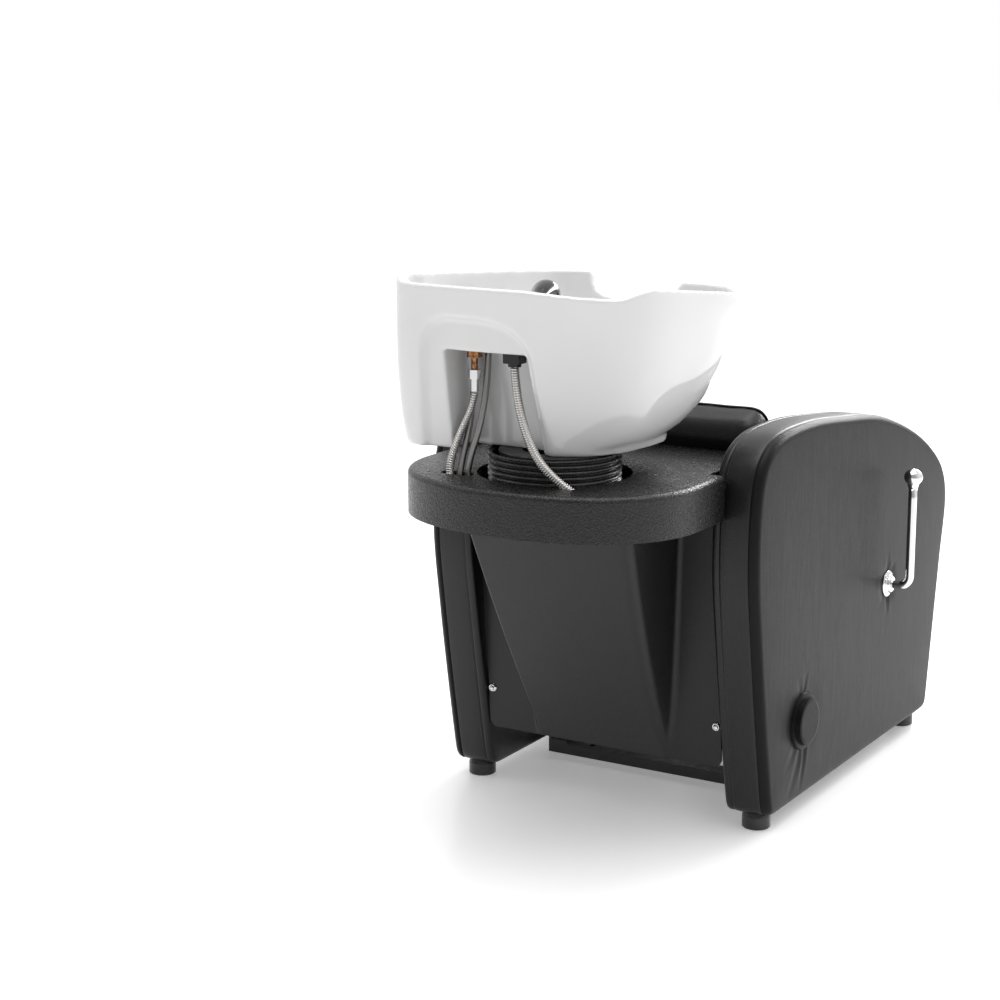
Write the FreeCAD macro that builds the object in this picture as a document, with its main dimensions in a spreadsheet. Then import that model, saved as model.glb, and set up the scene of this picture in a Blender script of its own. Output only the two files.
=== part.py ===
import FreeCAD, Part
import math
import os
import re
import Sketcher
from FreeCAD import Placement, Rotation, Vector

# Shampoo backwash unit: two upholstered side panels carry a reclined seat, a leg rest worked by a side
# lever, and a rear housing on which a ceramic basin tilts above a ribbed bellows.
# Frame: millimetres, +Z up, +X to the seated client's right (the lever side), +Y towards the client's feet.
# The origin is on the floor under the middle of the floor crossbar.

doc = FreeCAD.newDocument("BackwashUnit")

# ---------------------------------------------------------------- driving dimensions
DIMENSIONS = {
    # side panels
    "panel_in": 235, "panel_seam_in": 250, "panel_seam_out": 303, "panel_out": 322,
    "panel_base": 30, "band_skin": 6,
    # feet and floor crossbar
    "foot_radius": 25, "foot_x": 280, "foot_rear_y": -190, "foot_front_y": 495,
    "bar_width": 40, "bar_tall": 20, "anchor_x": 150, "anchor_hole": 6,
    "bracket_thick": 6, "bracket_top": 160, "bracket_foot": 40, "bolt_radius": 4,
    "waste_pipe_y": -60, "hot_inlet_x": -150, "cold_inlet_x": -100,
    # seat
    "rail_base": 358, "rail_leg": 26, "rail_thick": 4, "rail_foot": 40,
    "rail_rear_y": -60, "rail_front_y": 505, "board_thick": 18,
    "seat_rear_y": 60, "seat_front_y": 545, "seat_top": 436, "cushion_half": 229, "cushion_edge": 16,
    # backrest
    "back_lean": 23, "back_foot_y": 60, "back_foot_z": 402, "back_length": 342, "back_thick": 78,
    # leg rest and its drive
    "leg_axis_y": 535, "leg_axis_z": 345, "lever_axis_y": 290, "lever_axis_z": 338,
    "shaft_radius": 8, "running_gap": 0.05, "crank_length": 60, "crank_angle": -125, "pin_radius": 5,
    "leg_tilt": -8, "leg_half": 214, "leg_length": 296, "leg_pad": 50, "leg_board": 12,
    # side lever
    "lever_x": 365, "lever_bend": 20, "lever_top": 528, "lever_knob": 17.5,
    # access caps
    "cap_y": -94, "cap_z": 173, "cap_flange": 52.5, "cap_disc": 42.5, "cap_bore": 40,
    # rear housing
    "cover_base": 112, "cover_top": 566, "cover_rear_y": -237, "cover_lean": 0.085,
    "cover_half": 233, "wedge_low": 124, "wedge_high": 158, "wedge_rear_y": -454,
    "wedge_side_low": 136, "wedge_side_high": 163, "skin": 4,
    "shelf_base": 567, "shelf_top": 642, "shelf_half": 261, "shelf_depth": 207, "shelf_mid_y": -402,
    "shelf_neck": 232, "shelf_shoulder_y": -306, "shelf_front_y": -97, "shelf_power": 2.2,
    "collar_radius": 130,
    # basin tilt
    "tilt_y": -415, "tilt_z": 650, "lug_x": 66, "ear_x": 76, "pivot_radius": 5,
    "bellows_radius": 112, "rib_depth": 7, "rib_pitch": 9.5, "table_base": 597, "bellows_base": 603,
    # basin
    "basin_base": 680, "basin_wall": 20, "bowl_floor": 702, "deck_top": 862, "deck_under": 847,
    "waste_x": 8, "waste_y": -388, "waste_radius": 18,
    # taps
    "mixer_x": -119, "mixer_y": -475, "mixer_radius": 22, "flow_pin_radius": 1.6,
    "shower_x": -30, "shower_y": -481,
    "hose_thin": 5.5, "hose_thick": 7.5,
}

sheet = doc.addObject("Spreadsheet::Sheet", "Dimensions")
for row, (alias, number) in enumerate(DIMENSIONS.items(), start=1):
    sheet.set("A%d" % row, alias.replace("_", " "))
    sheet.set("B%d" % row, str(number))
    sheet.setAlias("B%d" % row, alias)
doc.recompute()

FUNCTIONS = ("sin", "cos", "tan")


def bound(text):
    """Turn 'panel_in - 3' into the expression 'Dimensions.panel_in - 3'."""
    return re.sub(r"[a-z][a-z_]+", lambda word: word.group() if word.group() in FUNCTIONS
                  else "Dimensions." + word.group(), text)


def size(text):
    """The number that an expression in the sheet's names gives now."""
    answer = sheet.evalExpression(bound(text))
    return float(getattr(answer, "Value", answer))


def bind(thing, path, text):
    thing.setExpression(path, bound(text))


def bind_place(thing, place):
    for axis, text in zip("xyz", place):
        bind(thing, "Placement.Base." + axis, text)


# ---------------------------------------------------------------- primitives bound to the sheet
def box(name, low, high):
    """A block from its low corner to its high corner, both given as expressions."""
    block = doc.addObject("Part::Box", name)
    for side, a, b in zip(("Length", "Width", "Height"), low, high):
        bind(block, side, "(%s) - (%s)" % (b, a))
    bind_place(block, low)
    return block


TURNS = {"X": Rotation(Vector(0, 1, 0), 90), "Y": Rotation(Vector(1, 0, 0), -90), "Z": Rotation()}


def rod(name, radius, length, place, axis="Z"):
    """A cylinder that starts at a place and runs along +X, +Y or +Z."""
    cylinder = doc.addObject("Part::Cylinder", name)
    cylinder.Placement = Placement(Vector(), TURNS[axis])
    bind(cylinder, "Radius", radius)
    bind(cylinder, "Height", length)
    bind_place(cylinder, place)
    return cylinder


def cut(name, base, *tools):
    if len(tools) > 1:
        tool = doc.addObject("Part::MultiFuse", name + "_tools")
        tool.Shapes = list(tools)
    else:
        tool = tools[0]
    result = doc.addObject("Part::Cut", name)
    result.Base = base
    result.Tool = tool
    return result


def fuse(name, *pieces):
    result = doc.addObject("Part::MultiFuse", name)
    result.Shapes = list(pieces)
    result.Refine = True
    return result


def group(name, *pieces):
    """Separate solids that share one node, such as a set of identical bolts."""
    result = doc.addObject("Part::Compound", name)
    result.Links = list(pieces)
    return result


def mirrored(name, source):
    """The other side's copy of a piece, mirrored in the plane X = 0."""
    twin = doc.addObject("Part::Mirroring", name)
    twin.Source = source
    twin.Normal = Vector(1, 0, 0)
    return twin


def shaped(name, shape):
    """A piece whose shape is worked out in this script from the sheet's sizes."""
    piece = doc.addObject("Part::Feature", name)
    piece.Shape = shape
    return piece


# ---------------------------------------------------------------- sketched bodies
def origin_plane(body, role):
    return [item for item in body.Origin.OriginFeatures if item.Role == role][0]


def outline_sketch(body, name, role, corners):
    """A closed polygon whose every corner is held by two dimensions bound to the sheet."""
    sketch = body.newObject("Sketcher::SketchObject", name)
    sketch.AttachmentSupport = [(origin_plane(body, role), "")]
    sketch.MapMode = "FlatFace"
    points = [Vector(size(a), size(b), 0) for a, b in corners]
    for index, point in enumerate(points):
        sketch.addGeometry(Part.LineSegment(point, points[(index + 1) % len(points)]), False)
    for index in range(len(points)):
        sketch.addConstraint(Sketcher.Constraint("Coincident", index, 2, (index + 1) % len(points), 1))
    for index, corner in enumerate(corners):
        for kind, text in zip(("DistanceX", "DistanceY"), corner):
            held = sketch.addConstraint(Sketcher.Constraint(kind, -1, 1, index, 1, size(text)))
            sketch.setExpression("Constraints[%d]" % held, bound(text))
    return sketch


def turned(name, profile, place=("0", "0", "0"), axis="Z"):
    """A body of revolution: the profile's first number is the radius, its second runs along the axis."""
    body = doc.addObject("PartDesign::Body", name)
    sketch = outline_sketch(body, name + "_profile", "XZ_Plane", profile)
    spin = body.newObject("PartDesign::Revolution", name + "_spin")
    spin.Profile = sketch
    spin.ReferenceAxis = (sketch, ["V_Axis"])
    spin.Angle = 360
    body.Placement = Placement(Vector(), TURNS[axis])
    bind_place(body, place)
    return body


PLANE_TURNS = {"XZ_Plane": ("y", -1), "YZ_Plane": ("x", 1), "XY_Plane": ("z", 1)}


def padded(name, role, corners, start, length):
    """A prism on one of the origin planes, from `start` along the plane's own axis for `length`."""
    body = doc.addObject("PartDesign::Body", name)
    sketch = outline_sketch(body, name + "_outline", role, corners)
    pad = body.newObject("PartDesign::Pad", name + "_pad")
    pad.Profile = sketch
    bind(pad, "Length", length)
    axis, way = PLANE_TURNS[role]
    pad.Reversed = way < 0
    bind(body, "Placement.Base." + axis, start)
    return body


# ---------------------------------------------------------------- curved shapes
def smooth_wire(points):
    curve = Part.BSplineCurve()
    curve.interpolate([Vector(*point) for point in points], True)
    return Part.Wire([curve.toShape()])


def bent_path(points, share=0.45):
    """Straight runs joined by tangent arcs; each arc is as large as its two runs allow."""
    points = [Vector(*point) for point in points]
    edges, radii = [], []
    start = points[0]
    for before, corner, after in zip(points, points[1:], points[2:]):
        into, out = (corner - before).normalize(), (after - corner).normalize()
        reach = share * min((corner - before).Length, (after - corner).Length)
        half_turn = 0.5 * into.getAngle(out)
        radii.append(reach / math.tan(half_turn))
        first, last = corner - into * reach, corner + out * reach
        inward = (out - into).normalize()
        middle = corner + inward * (radii[-1] / math.cos(half_turn) - radii[-1])
        edges.append(Part.LineSegment(start, first).toShape())
        edges.append(Part.Arc(first, middle, last).toShape())
        start = last
    edges.append(Part.LineSegment(start, points[-1]).toShape())
    return Part.Wire(edges), radii


def tube(name, points, radius, bore=0, share=0.45):
    """A round tube or hose along a route; prints its bend radii and checks its volume."""
    path, radii = bent_path(points, share)
    heading = Vector(*points[1]) - Vector(*points[0])
    ring = Part.Face(Part.Wire([Part.makeCircle(radius, Vector(*points[0]), heading)]))
    if bore:
        hole = Part.Face(Part.Wire([Part.makeCircle(bore, Vector(*points[0]), heading)]))
        ring = ring.cut(hole).Faces[0]
    solid = path.makePipeShell([ring.OuterWire], True, False)
    expected = math.pi * radius * radius * path.Length
    if bore:
        solid = solid.cut(path.makePipeShell([hole.OuterWire], True, False))
        expected -= math.pi * bore * bore * path.Length
    print("%-16s length %.0f  radii %s  volume/expected %.4f"
          % (name, path.Length, ["%.0f" % r for r in radii], solid.Volume / expected))
    return shaped(name, solid)


def link_plate(reach, width, thick, bore_a, bore_b):
    """A flat link along +Y with round ends: centred on the origin and on (0, reach), bored at both."""
    plate = Part.makeBox(thick, reach, 2 * width, Vector(0, 0, -width))
    for place in (0, reach):
        plate = plate.fuse(Part.makeCylinder(width, thick, Vector(0, place, 0), Vector(1, 0, 0)))
    for place, bore in ((0, bore_a), (reach, bore_b)):
        plate = plate.cut(Part.makeCylinder(bore, thick, Vector(0, place, 0), Vector(1, 0, 0)))
    return plate.removeSplitter()


# ---------------------------------------------------------------- side panels
# Side outline (Y, Z), from the rear lower corner over the arm to the front lower corner.
PANEL_CURVE = [(-222, 30), (-252, 180), (-281, 345), (-300, 490), (-287, 632), (-222, 690), (-80, 700),
               (80, 686), (240, 664), (400, 616), (515, 562), (583, 508), (604, 440), (583, 330), (556, 175),
               (531, 30)]


def panel_face(inset=0):
    """The side outline as a face, with every point moved inwards by `inset`."""
    points = [Vector(0, y, z) for y, z in PANEL_CURVE]
    moved = []
    for index, point in enumerate(points):
        along = points[min(index + 1, len(points) - 1)] - points[max(index - 1, 0)]
        inward = Vector(0, along.z, -along.y).normalize()
        moved.append(point + inward * inset)
    moved[0] = Vector(0, moved[0].y, points[0].z + inset)
    moved[-1] = Vector(0, moved[-1].y, points[-1].z + inset)
    curve = Part.BSplineCurve()
    curve.interpolate(moved)
    low = Part.LineSegment(moved[-1], moved[0])
    return Part.Face(Part.Wire([curve.toShape(), low.toShape()]))


def prism_x(face, low, high):
    return face.translated(Vector(low, 0, 0)).extrude(Vector(high - low, 0, 0))


def bore_x(y, z, radius, low, high):
    return Part.makeCylinder(radius, high - low, Vector(low, y, z), Vector(1, 0, 0))


# Bolt places (Y, Z) on each panel's inner face.
CROSSBAR_BOLTS = [(-8, 100), (8, 140)]
RAIL_BOLTS = [(20, 371), (230, 371), (440, 371)]
SUPPORT_BOLTS = [(-214, 512), (-166, 512)]


def side_panel(side):
    """The panel's three layers, for the client's right (+1) or left (-1)."""
    inner, seam_in = size("panel_in"), size("panel_seam_in")
    seam_out, outer = size("panel_seam_out"), size("panel_out")
    skin, bolt = size("band_skin"), size("bolt_radius") + 0.2
    cap = (size("cap_y"), size("cap_z"))
    full, core = panel_face(), panel_face(skin)
    wrap = prism_x(full, inner, seam_out).cut(prism_x(core, seam_in, seam_out))
    layers = {
        "panel_wrap": wrap,
        "panel_core": prism_x(core, seam_in, seam_out),
        "outer_pad": prism_x(full, seam_out, outer),
    }
    for y, z in CROSSBAR_BOLTS + RAIL_BOLTS + SUPPORT_BOLTS:
        hole = bore_x(y, z, bolt, inner - 1, inner + 31)
        layers["panel_wrap"] = layers["panel_wrap"].cut(hole)
        layers["panel_core"] = layers["panel_core"].cut(hole)
    socket = bore_x(*cap, size("cap_bore"), outer - 45, outer + 1)
    layers["panel_core"] = layers["panel_core"].cut(socket)
    layers["outer_pad"] = layers["outer_pad"].cut(socket)
    if side > 0:
        lever = bore_x(size("lever_axis_y"), size("lever_axis_z"), 14.2, inner - 1, outer + 1)
        for layer in layers:
            layers[layer] = layers[layer].cut(lever)
    word = "right" if side > 0 else "left"
    for layer, solid in layers.items():
        if side < 0:
            solid = solid.mirror(Vector(), Vector(1, 0, 0))
        keep(shaped(layer + "_" + word, solid))


kept = []


def keep(piece):
    """Mark a sub-part for export under its own name."""
    piece.Label = piece.Name
    kept.append(piece)
    return piece


side_panel(1)
side_panel(-1)

# ---------------------------------------------------------------- feet and access caps
FOOT_PROFILE = [("0", "0"), ("foot_radius - 2", "0"), ("foot_radius", "2"),
                ("foot_radius", "panel_base - 8"), ("foot_radius - 3", "panel_base"), ("0", "panel_base")]
feet = [turned("foot_%s_%s" % (end, word), FOOT_PROFILE, (sign + "foot_x", foot_y, "0"))
        for end, foot_y in (("rear", "foot_rear_y"), ("front", "foot_front_y"))
        for word, sign in (("right", ""), ("left", "-"))]
keep(group("glide_feet", *feet))

CAP_PROFILE = [("0", "-12"), ("cap_bore - 3.5", "-12"), ("cap_bore - 0.3", "0"), ("cap_flange", "0"),
               ("cap_flange - 2", "4"), ("cap_disc + 1", "5"), ("cap_disc - 1", "13"),
               ("cap_disc - 6", "14"), ("0", "14")]
cap_right = keep(turned("access_cap_right", CAP_PROFILE, ("panel_out", "cap_y", "cap_z"), "X"))
keep(mirrored("access_cap_left", cap_right))

# ---------------------------------------------------------------- floor crossbar and its brackets
bar = box("bar_blank", ("-panel_in + 0.5", "-bar_width / 2", "0"),
          ("panel_in - 0.5", "bar_width / 2", "bar_tall"))
anchors = [rod("anchor_%d" % n, "anchor_hole", "bar_tall + 2", (x, "0", "-1"))
           for n, x in enumerate(("anchor_x", "-anchor_x"))]
keep(cut("floor_crossbar", bar, *anchors))

bracket = padded("bracket_blank", "XZ_Plane",
                 [("panel_in - bracket_foot", "bar_tall"), ("panel_in - 0.5", "bar_tall"),
                  ("panel_in - 0.5", "bracket_top"), ("panel_in - 0.5 - bracket_thick", "bracket_top"),
                  ("panel_in - 0.5 - bracket_thick", "bar_tall + bracket_thick"),
                  ("panel_in - bracket_foot", "bar_tall + bracket_thick")],
                 "-bar_width / 2", "bar_width")
holes = [rod("bracket_hole_%d" % n, "bolt_radius + 0.2", "bracket_thick + 2",
             ("panel_in - bracket_thick - 1.5", "%g" % y, "%g" % z), "X")
         for n, (y, z) in enumerate(CROSSBAR_BOLTS)]
bracket_right = cut("crossbar_bracket_right", bracket, *holes)
bracket_left = mirrored("crossbar_bracket_left", bracket_right)
# A flat rail welded across the two brackets carries the waste clip and the two water inlets.
service_rail = box("service_rail", ("0.5 - panel_in", "-bar_width / 2 - 6", "110"),
                   ("panel_in - 0.5", "-bar_width / 2", "150"))
clip_arm = box("clip_arm", ("-10", "-bar_width / 2 - 26", "120"), ("10", "-bar_width / 2 - 5", "140"))
clip_ring = rod("clip_ring", "24", "20", ("0", "waste_pipe_y", "120"))
uprights_blank = fuse("uprights_blank", bracket_right, bracket_left, service_rail, clip_arm, clip_ring)
clip_bore = rod("clip_bore", "20", "24", ("0", "waste_pipe_y", "118"))
inlet_holes = [rod("inlet_hole_" + word, "10.7", "14", (x, "-bar_width / 2 - 10", "130"), "Y")
               for word, x in (("hot", "hot_inlet_x"), ("cold", "cold_inlet_x"))]
keep(cut("crossbar_uprights", uprights_blank, clip_bore, *inlet_holes))


def bolt_x(head_x, y, z, length, side):
    """A button-head bolt along X whose head bears at head_x, pointing outwards into a panel."""
    radius = size("bolt_radius")
    shank = Part.makeCylinder(radius, length, Vector(head_x - 0.5, y, z), Vector(1, 0, 0))
    head = Part.makeCylinder(1.6 * radius, 4, Vector(head_x - 4, y, z), Vector(1, 0, 0))
    head = head.makeFillet(1.2, [edge for edge in head.Edges if edge.BoundBox.XMax < head_x - 3.9])
    solid = head.fuse(shank)
    return solid if side > 0 else solid.mirror(Vector(), Vector(1, 0, 0))


bolts = [bolt_x(size(face), y, z, 32, side)
         for face, places in (("panel_in - 0.5 - bracket_thick", CROSSBAR_BOLTS),
                              ("panel_in - rail_thick", RAIL_BOLTS), ("panel_in - 5", SUPPORT_BOLTS))
         for side in (1, -1) for y, z in places]
keep(shaped("panel_bolts", Part.makeCompound(bolts)))

# ---------------------------------------------------------------- seat rails, cross tubes, seat
rail = padded("rail_blank", "XZ_Plane",
              [("panel_in - rail_foot", "rail_base"), ("panel_in", "rail_base"),
               ("panel_in", "rail_base + rail_leg"), ("panel_in - rail_thick", "rail_base + rail_leg"),
               ("panel_in - rail_thick", "rail_base + rail_thick"),
               ("panel_in - rail_foot", "rail_base + rail_thick")],
              "rail_rear_y", "rail_front_y - rail_rear_y")
holes = [rod("rail_hole_%d" % n, "bolt_radius + 0.2", "rail_thick + 2",
             ("panel_in - rail_thick - 1", "%g" % y, "%g" % z), "X")
         for n, (y, z) in enumerate(RAIL_BOLTS)]
rail_right = cut("seat_rail_right", rail, *holes)
seat_irons = [rail_right, mirrored("seat_rail_left", rail_right)]
for end, tube_y in (("rear", "60"), ("front", "440")):
    outer = box("tube_%s_outer" % end, ("-205", tube_y, "rail_base - 30"),
                ("205", tube_y + " + 30", "rail_base"))
    inner = box("tube_%s_inner" % end, ("-206", tube_y + " + 3", "rail_base - 27"),
                ("206", tube_y + " + 27", "rail_base - 3"))
    seat_irons.append(cut("seat_tube_" + end, outer, inner))
keep(fuse("seat_frame", *seat_irons))

keep(box("seat_board", ("-220", "seat_rear_y - 30", "rail_base + rail_thick"),
         ("220", "seat_front_y - 25", "rail_base + rail_thick + board_thick")))


def rounded_slab(name, low, high, radius):
    """A soft slab: a block with every edge rounded."""
    block = Part.makeBox(*[b - a for a, b in zip(low, high)], Vector(*low))
    return shaped(name, block.makeFillet(radius, block.Edges))


keep(rounded_slab("seat_cushion",
                  (-size("cushion_half"), size("seat_rear_y + 42"),
                   size("rail_base + rail_thick + board_thick + 0.3")),
                  (size("cushion_half"), size("seat_front_y"), size("seat_top")), size("cushion_edge")))

# ---------------------------------------------------------------- backrest
# Built upright at the foot of the back and leaned rearwards about the client's X axis.
back_pose = Placement(Vector(0, size("back_foot_y"), size("back_foot_z")),
                      Rotation(Vector(1, 0, 0), size("back_lean")))
half = size("cushion_half")
cushion = rounded_slab("backrest_cushion", (-half, -size("back_thick") / 2, 0),
                       (half, size("back_thick") / 2, size("back_length")), 24)
cushion.Placement = back_pose
keep(cushion)
board = doc.addObject("Part::Box", "backrest_board")
bind(board, "Length", "2 * (cushion_half - 6)")
bind(board, "Width", "board_thick - 8")
bind(board, "Height", "back_length - 60")
board.Placement = back_pose.multiply(Placement(
    Vector(-half + 6, -size("back_thick") / 2 - size("board_thick") + 7.7, 20), Rotation()))
keep(board)

# ---------------------------------------------------------------- leg rest
leg_axis = Vector(0, size("leg_axis_y"), size("leg_axis_z"))
leg_pose = Placement(leg_axis, Rotation(Vector(1, 0, 0), size("leg_tilt")))
board_near, pad_near = 16, 16 + size("leg_board")

leg_cushion = rounded_slab("leg_rest_cushion", (-size("leg_half"), pad_near + 0.3, -8 - size("leg_length")),
                           (size("leg_half"), pad_near + size("leg_pad"), -8), 18)
leg_cushion.Placement = leg_pose
keep(leg_cushion)

leg_board = doc.addObject("Part::Box", "leg_rest_board")
bind(leg_board, "Length", "2 * (leg_half - 12)")
bind(leg_board, "Width", "leg_board")
bind(leg_board, "Height", "leg_length - 20")
leg_board.Placement = leg_pose.multiply(Placement(
    Vector(12 - size("leg_half"), board_near, -size("leg_length") + 2), Rotation()))
keep(leg_board)

keep(rod("leg_rest_shaft", "shaft_radius", "2 * panel_in - 4",
         ("2 - panel_in", "leg_axis_y", "leg_axis_z"), "X"))


def leg_bracket(x):
    """A pressed arm from the shaft to the back of the leg rest's board."""
    hub = Part.makeCylinder(14, 24, Vector(x, 0, 0), Vector(1, 0, 0))
    web = Part.makeBox(5, board_near, 150, Vector(x, 0, -150))
    pad = Part.makeBox(24, 4, 150, Vector(x, board_near - 4, -150))
    bore = Part.makeCylinder(size("shaft_radius"), 26, Vector(x - 1, 0, 0), Vector(1, 0, 0))
    return hub.fuse([web, pad]).cut(bore).removeSplitter()


brackets = shaped("leg_rest_brackets", Part.makeCompound([leg_bracket(-142), leg_bracket(118)]))
brackets.Placement = leg_pose
keep(brackets)

bearing = turned("bearing_blank", [("shaft_radius + running_gap", "0"),
                                   ("18", "0"), ("18", "5"), ("12", "6"),
                                   ("shaft_radius + running_gap", "6")],
                 ("panel_in - 6", "leg_axis_y", "leg_axis_z"), "X")
keep(group("leg_rest_bearings", bearing, mirrored("bearing_left", bearing)))

# ---------------------------------------------------------------- drive from the side lever to the leg rest
# Crank and drive arm are equal and parallel, so with the rod they make a parallelogram.
lever_axis = Vector(0, size("lever_axis_y"), size("lever_axis_z"))
crank = size("crank_length")
crank_turn = Rotation(Vector(1, 0, 0), size("crank_angle"))
crank_tip = crank_turn.multVec(Vector(0, crank, 0))
shaft_bore, pin = size("shaft_radius"), size("pin_radius")

crank_arm = link_plate(crank, 13, 6, shaft_bore, pin)
crank_arm = crank_arm.fuse(Part.makeCylinder(pin, 18, Vector(-12, crank, 0), Vector(1, 0, 0)))
crank_arm = crank_arm.fuse(Part.makeCylinder(pin + 2.5, 2.5, Vector(-12, crank, 0), Vector(1, 0, 0)))
for name, centre in (("lever_crank", lever_axis), ("leg_rest_drive_arm", leg_axis)):
    arm = shaped(name, crank_arm.removeSplitter())
    arm.Placement = Placement(centre + Vector(221, 0, 0), crank_turn)
    keep(arm)

span = leg_axis - lever_axis
rod_blank = link_plate(span.Length, 11, 6, pin + size("running_gap"), pin + 0.4)
link = shaped("connecting_rod", rod_blank)
link.Placement = Placement(lever_axis + crank_tip + Vector(213, 0, 0), Rotation(Vector(0, 1, 0), span))
keep(link)

# ---------------------------------------------------------------- side lever on the right panel
outer = size("panel_out")
lever_points = [(205, 0, 0), (size("lever_x"), 0, 0), (size("lever_x"), 0, size("lever_top - lever_axis_z"))]
bend = size("lever_bend")
run_in = Part.LineSegment(Vector(205, 0, 0), Vector(size("lever_x") - bend, 0, 0)).toShape()
corner = Part.Arc(Vector(size("lever_x") - bend, 0, 0),
                  Vector(size("lever_x") - bend * (1 - math.sqrt(0.5)), 0, bend * (1 - math.sqrt(0.5))),
                  Vector(size("lever_x"), 0, bend)).toShape()
run_up = Part.LineSegment(Vector(size("lever_x"), 0, bend), Vector(*lever_points[2])).toShape()
section = Part.Wire([Part.makeCircle(size("shaft_radius"), Vector(205, 0, 0), Vector(1, 0, 0))])
lever = shaped("side_lever", Part.Wire([run_in, corner, run_up]).makePipeShell([section], True, False))
lever.Placement = Placement(lever_axis, Rotation())
keep(lever)

keep(turned("lever_knob", [("0", "0"), ("9.5", "0"), ("10.5", "3"), ("14", "6"), ("lever_knob - 0.5", "12"),
                           ("lever_knob", "17"), ("lever_knob - 1.5", "23.5"), ("12", "30"), ("6", "33.5"),
                           ("0", "34.5")],
            ("lever_x", "lever_axis_y", "lever_top")))
keep(turned("lever_flange", [("shaft_radius + 0.3", "0"), ("25", "0"), ("24", "2.5"),
                             ("17", "4"), ("15.5", "9"),
                             ("13", "10"), ("shaft_radius + 0.3", "10")],
            ("panel_out", "lever_axis_y", "lever_axis_z"), "X"))
keep(turned("lever_bushing", [("shaft_radius + running_gap", "0"), ("14", "0"),
                              ("14", "panel_out - panel_in"),
                              ("shaft_radius + running_gap", "panel_out - panel_in")],
            ("panel_in", "lever_axis_y", "lever_axis_z"), "X"))

# ---------------------------------------------------------------- steel support for the basin
beam_outer = box("beam_outer", ("5 - panel_in", "-210", "531"), ("panel_in - 5", "-170", "shelf_base"))
beam_inner = box("beam_inner", ("4 - panel_in", "-207", "534"), ("panel_in - 4", "-173", "shelf_base - 3"))
beam = cut("beam_tube", beam_outer, beam_inner)
plate_blank = box("beam_plate_blank", ("panel_in - 5", "-225", "500"),
                  ("panel_in", "-155", "shelf_base - 1"))
holes = [rod("beam_plate_hole_%d" % n, "bolt_radius + 0.2", "8", ("panel_in - 6", "%g" % y, "%g" % z), "X")
         for n, (y, z) in enumerate(SUPPORT_BOLTS)]
plate_right = cut("beam_plate_right", plate_blank, *holes)
keep(fuse("support_beam", beam, plate_right, mirrored("beam_plate_left", plate_right)))

arms = []
for word, low, high in (("right", "75", "105"), ("left", "-105", "-75")):
    arm_outer = box("arm_%s_outer" % word, (low, "-520", "shelf_base"), (high, "-170", "table_base"))
    arm_inner = box("arm_%s_inner" % word, (low + " + 3", "-521", "shelf_base + 3"),
                    (high + " - 3", "-169", "table_base - 3"))
    arms.append(cut("support_arm_" + word, arm_outer, arm_inner))
keep(group("support_arms", *arms))

disc = rod("table_disc", "119", "6", ("0", "tilt_y", "table_base"))
table_hole = rod("table_hole", "58", "8", ("0", "tilt_y", "table_base - 1"))
keep(cut("support_table", disc, table_hole))

# ---------------------------------------------------------------- rear cover


def cover_ring(level, wedge_x, wedge_y, side_x):
    """One level of the folded cover: wings beside a wedge that leans out towards the top."""
    skin, edge_x = size("skin"), size("cover_half")
    wing_y = size("cover_rear_y") - size("cover_lean") * (level - size("cover_base"))
    wedge_y = min(wedge_y, wing_y)
    rear = [(-edge_x, wing_y), (-side_x, wing_y), (-wedge_x, wedge_y),
            (wedge_x, wedge_y), (side_x, wing_y), (edge_x, wing_y)]
    front = [(edge_x, wing_y + skin), (side_x - skin, wing_y + skin), (wedge_x - skin, wedge_y + skin),
             (skin - wedge_x, wedge_y + skin), (skin - side_x, wing_y + skin), (-edge_x, wing_y + skin)]
    corners = [Vector(x, y, level) for x, y in rear + front]
    return Part.makePolygon(corners + corners[:1])


low_ring = cover_ring(size("cover_base"), size("wedge_low"), 0, size("wedge_side_low"))
high_ring = cover_ring(size("cover_top"), size("wedge_high"), size("wedge_rear_y"), size("wedge_side_high"))
cover = Part.makeLoft([low_ring, high_ring], True, True)
SCREW_X, SCREW_Z = 225, 187
SCREW_LIFT = 0.8
screw_y = size("cover_rear_y") - size("cover_lean") * (SCREW_Z - size("cover_base"))
screw_seats = [Vector(side * SCREW_X, screw_y, SCREW_Z) for side in (1, -1)]
for seat in screw_seats:
    cover = cover.cut(Part.makeCylinder(2.6, 14, seat + Vector(0, -5, 0), Vector(0, 1, 0)))
keep(shaped("rear_cover", cover))

cup = Part.makeCone(8, 6, 2.5, Vector(0, 0, 0), Vector(0, -1, 0))
dome = Part.makeSphere(5.2, Vector(0, 0, 0), Vector(0, -1, 0), 0, 90, 360).translated(Vector(0, -1, 0))
screw = cup.fuse([dome, Part.makeCylinder(2.5, 20, Vector(0, -1, 0), Vector(0, 1, 0))]).removeSplitter()
screws = [screw.translated(seat + Vector(0, -SCREW_LIFT, 0)) for seat in screw_seats]
keep(shaped("cover_screws", Part.makeCompound(screws)))

blocks = []
for side in (1, -1):
    for level in (SCREW_Z, 480):
        block = Part.makeBox(14, 20, 50, Vector(-7, 0, -25))
        lean_back = size("cover_lean") * (level + 25 - size("cover_base"))
        inside_y = size("cover_rear_y") - lean_back + size("skin") + 6
        block.translate(Vector(side * 228, inside_y, level))
        if level == SCREW_Z:
            pilot = Part.makeCylinder(2.6, 40, Vector(side * SCREW_X, screw_y, SCREW_Z), Vector(0, 1, 0))
            block = block.cut(pilot)
        blocks.append(block)
keep(shaped("cover_blocks", Part.makeCompound(blocks)))

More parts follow.
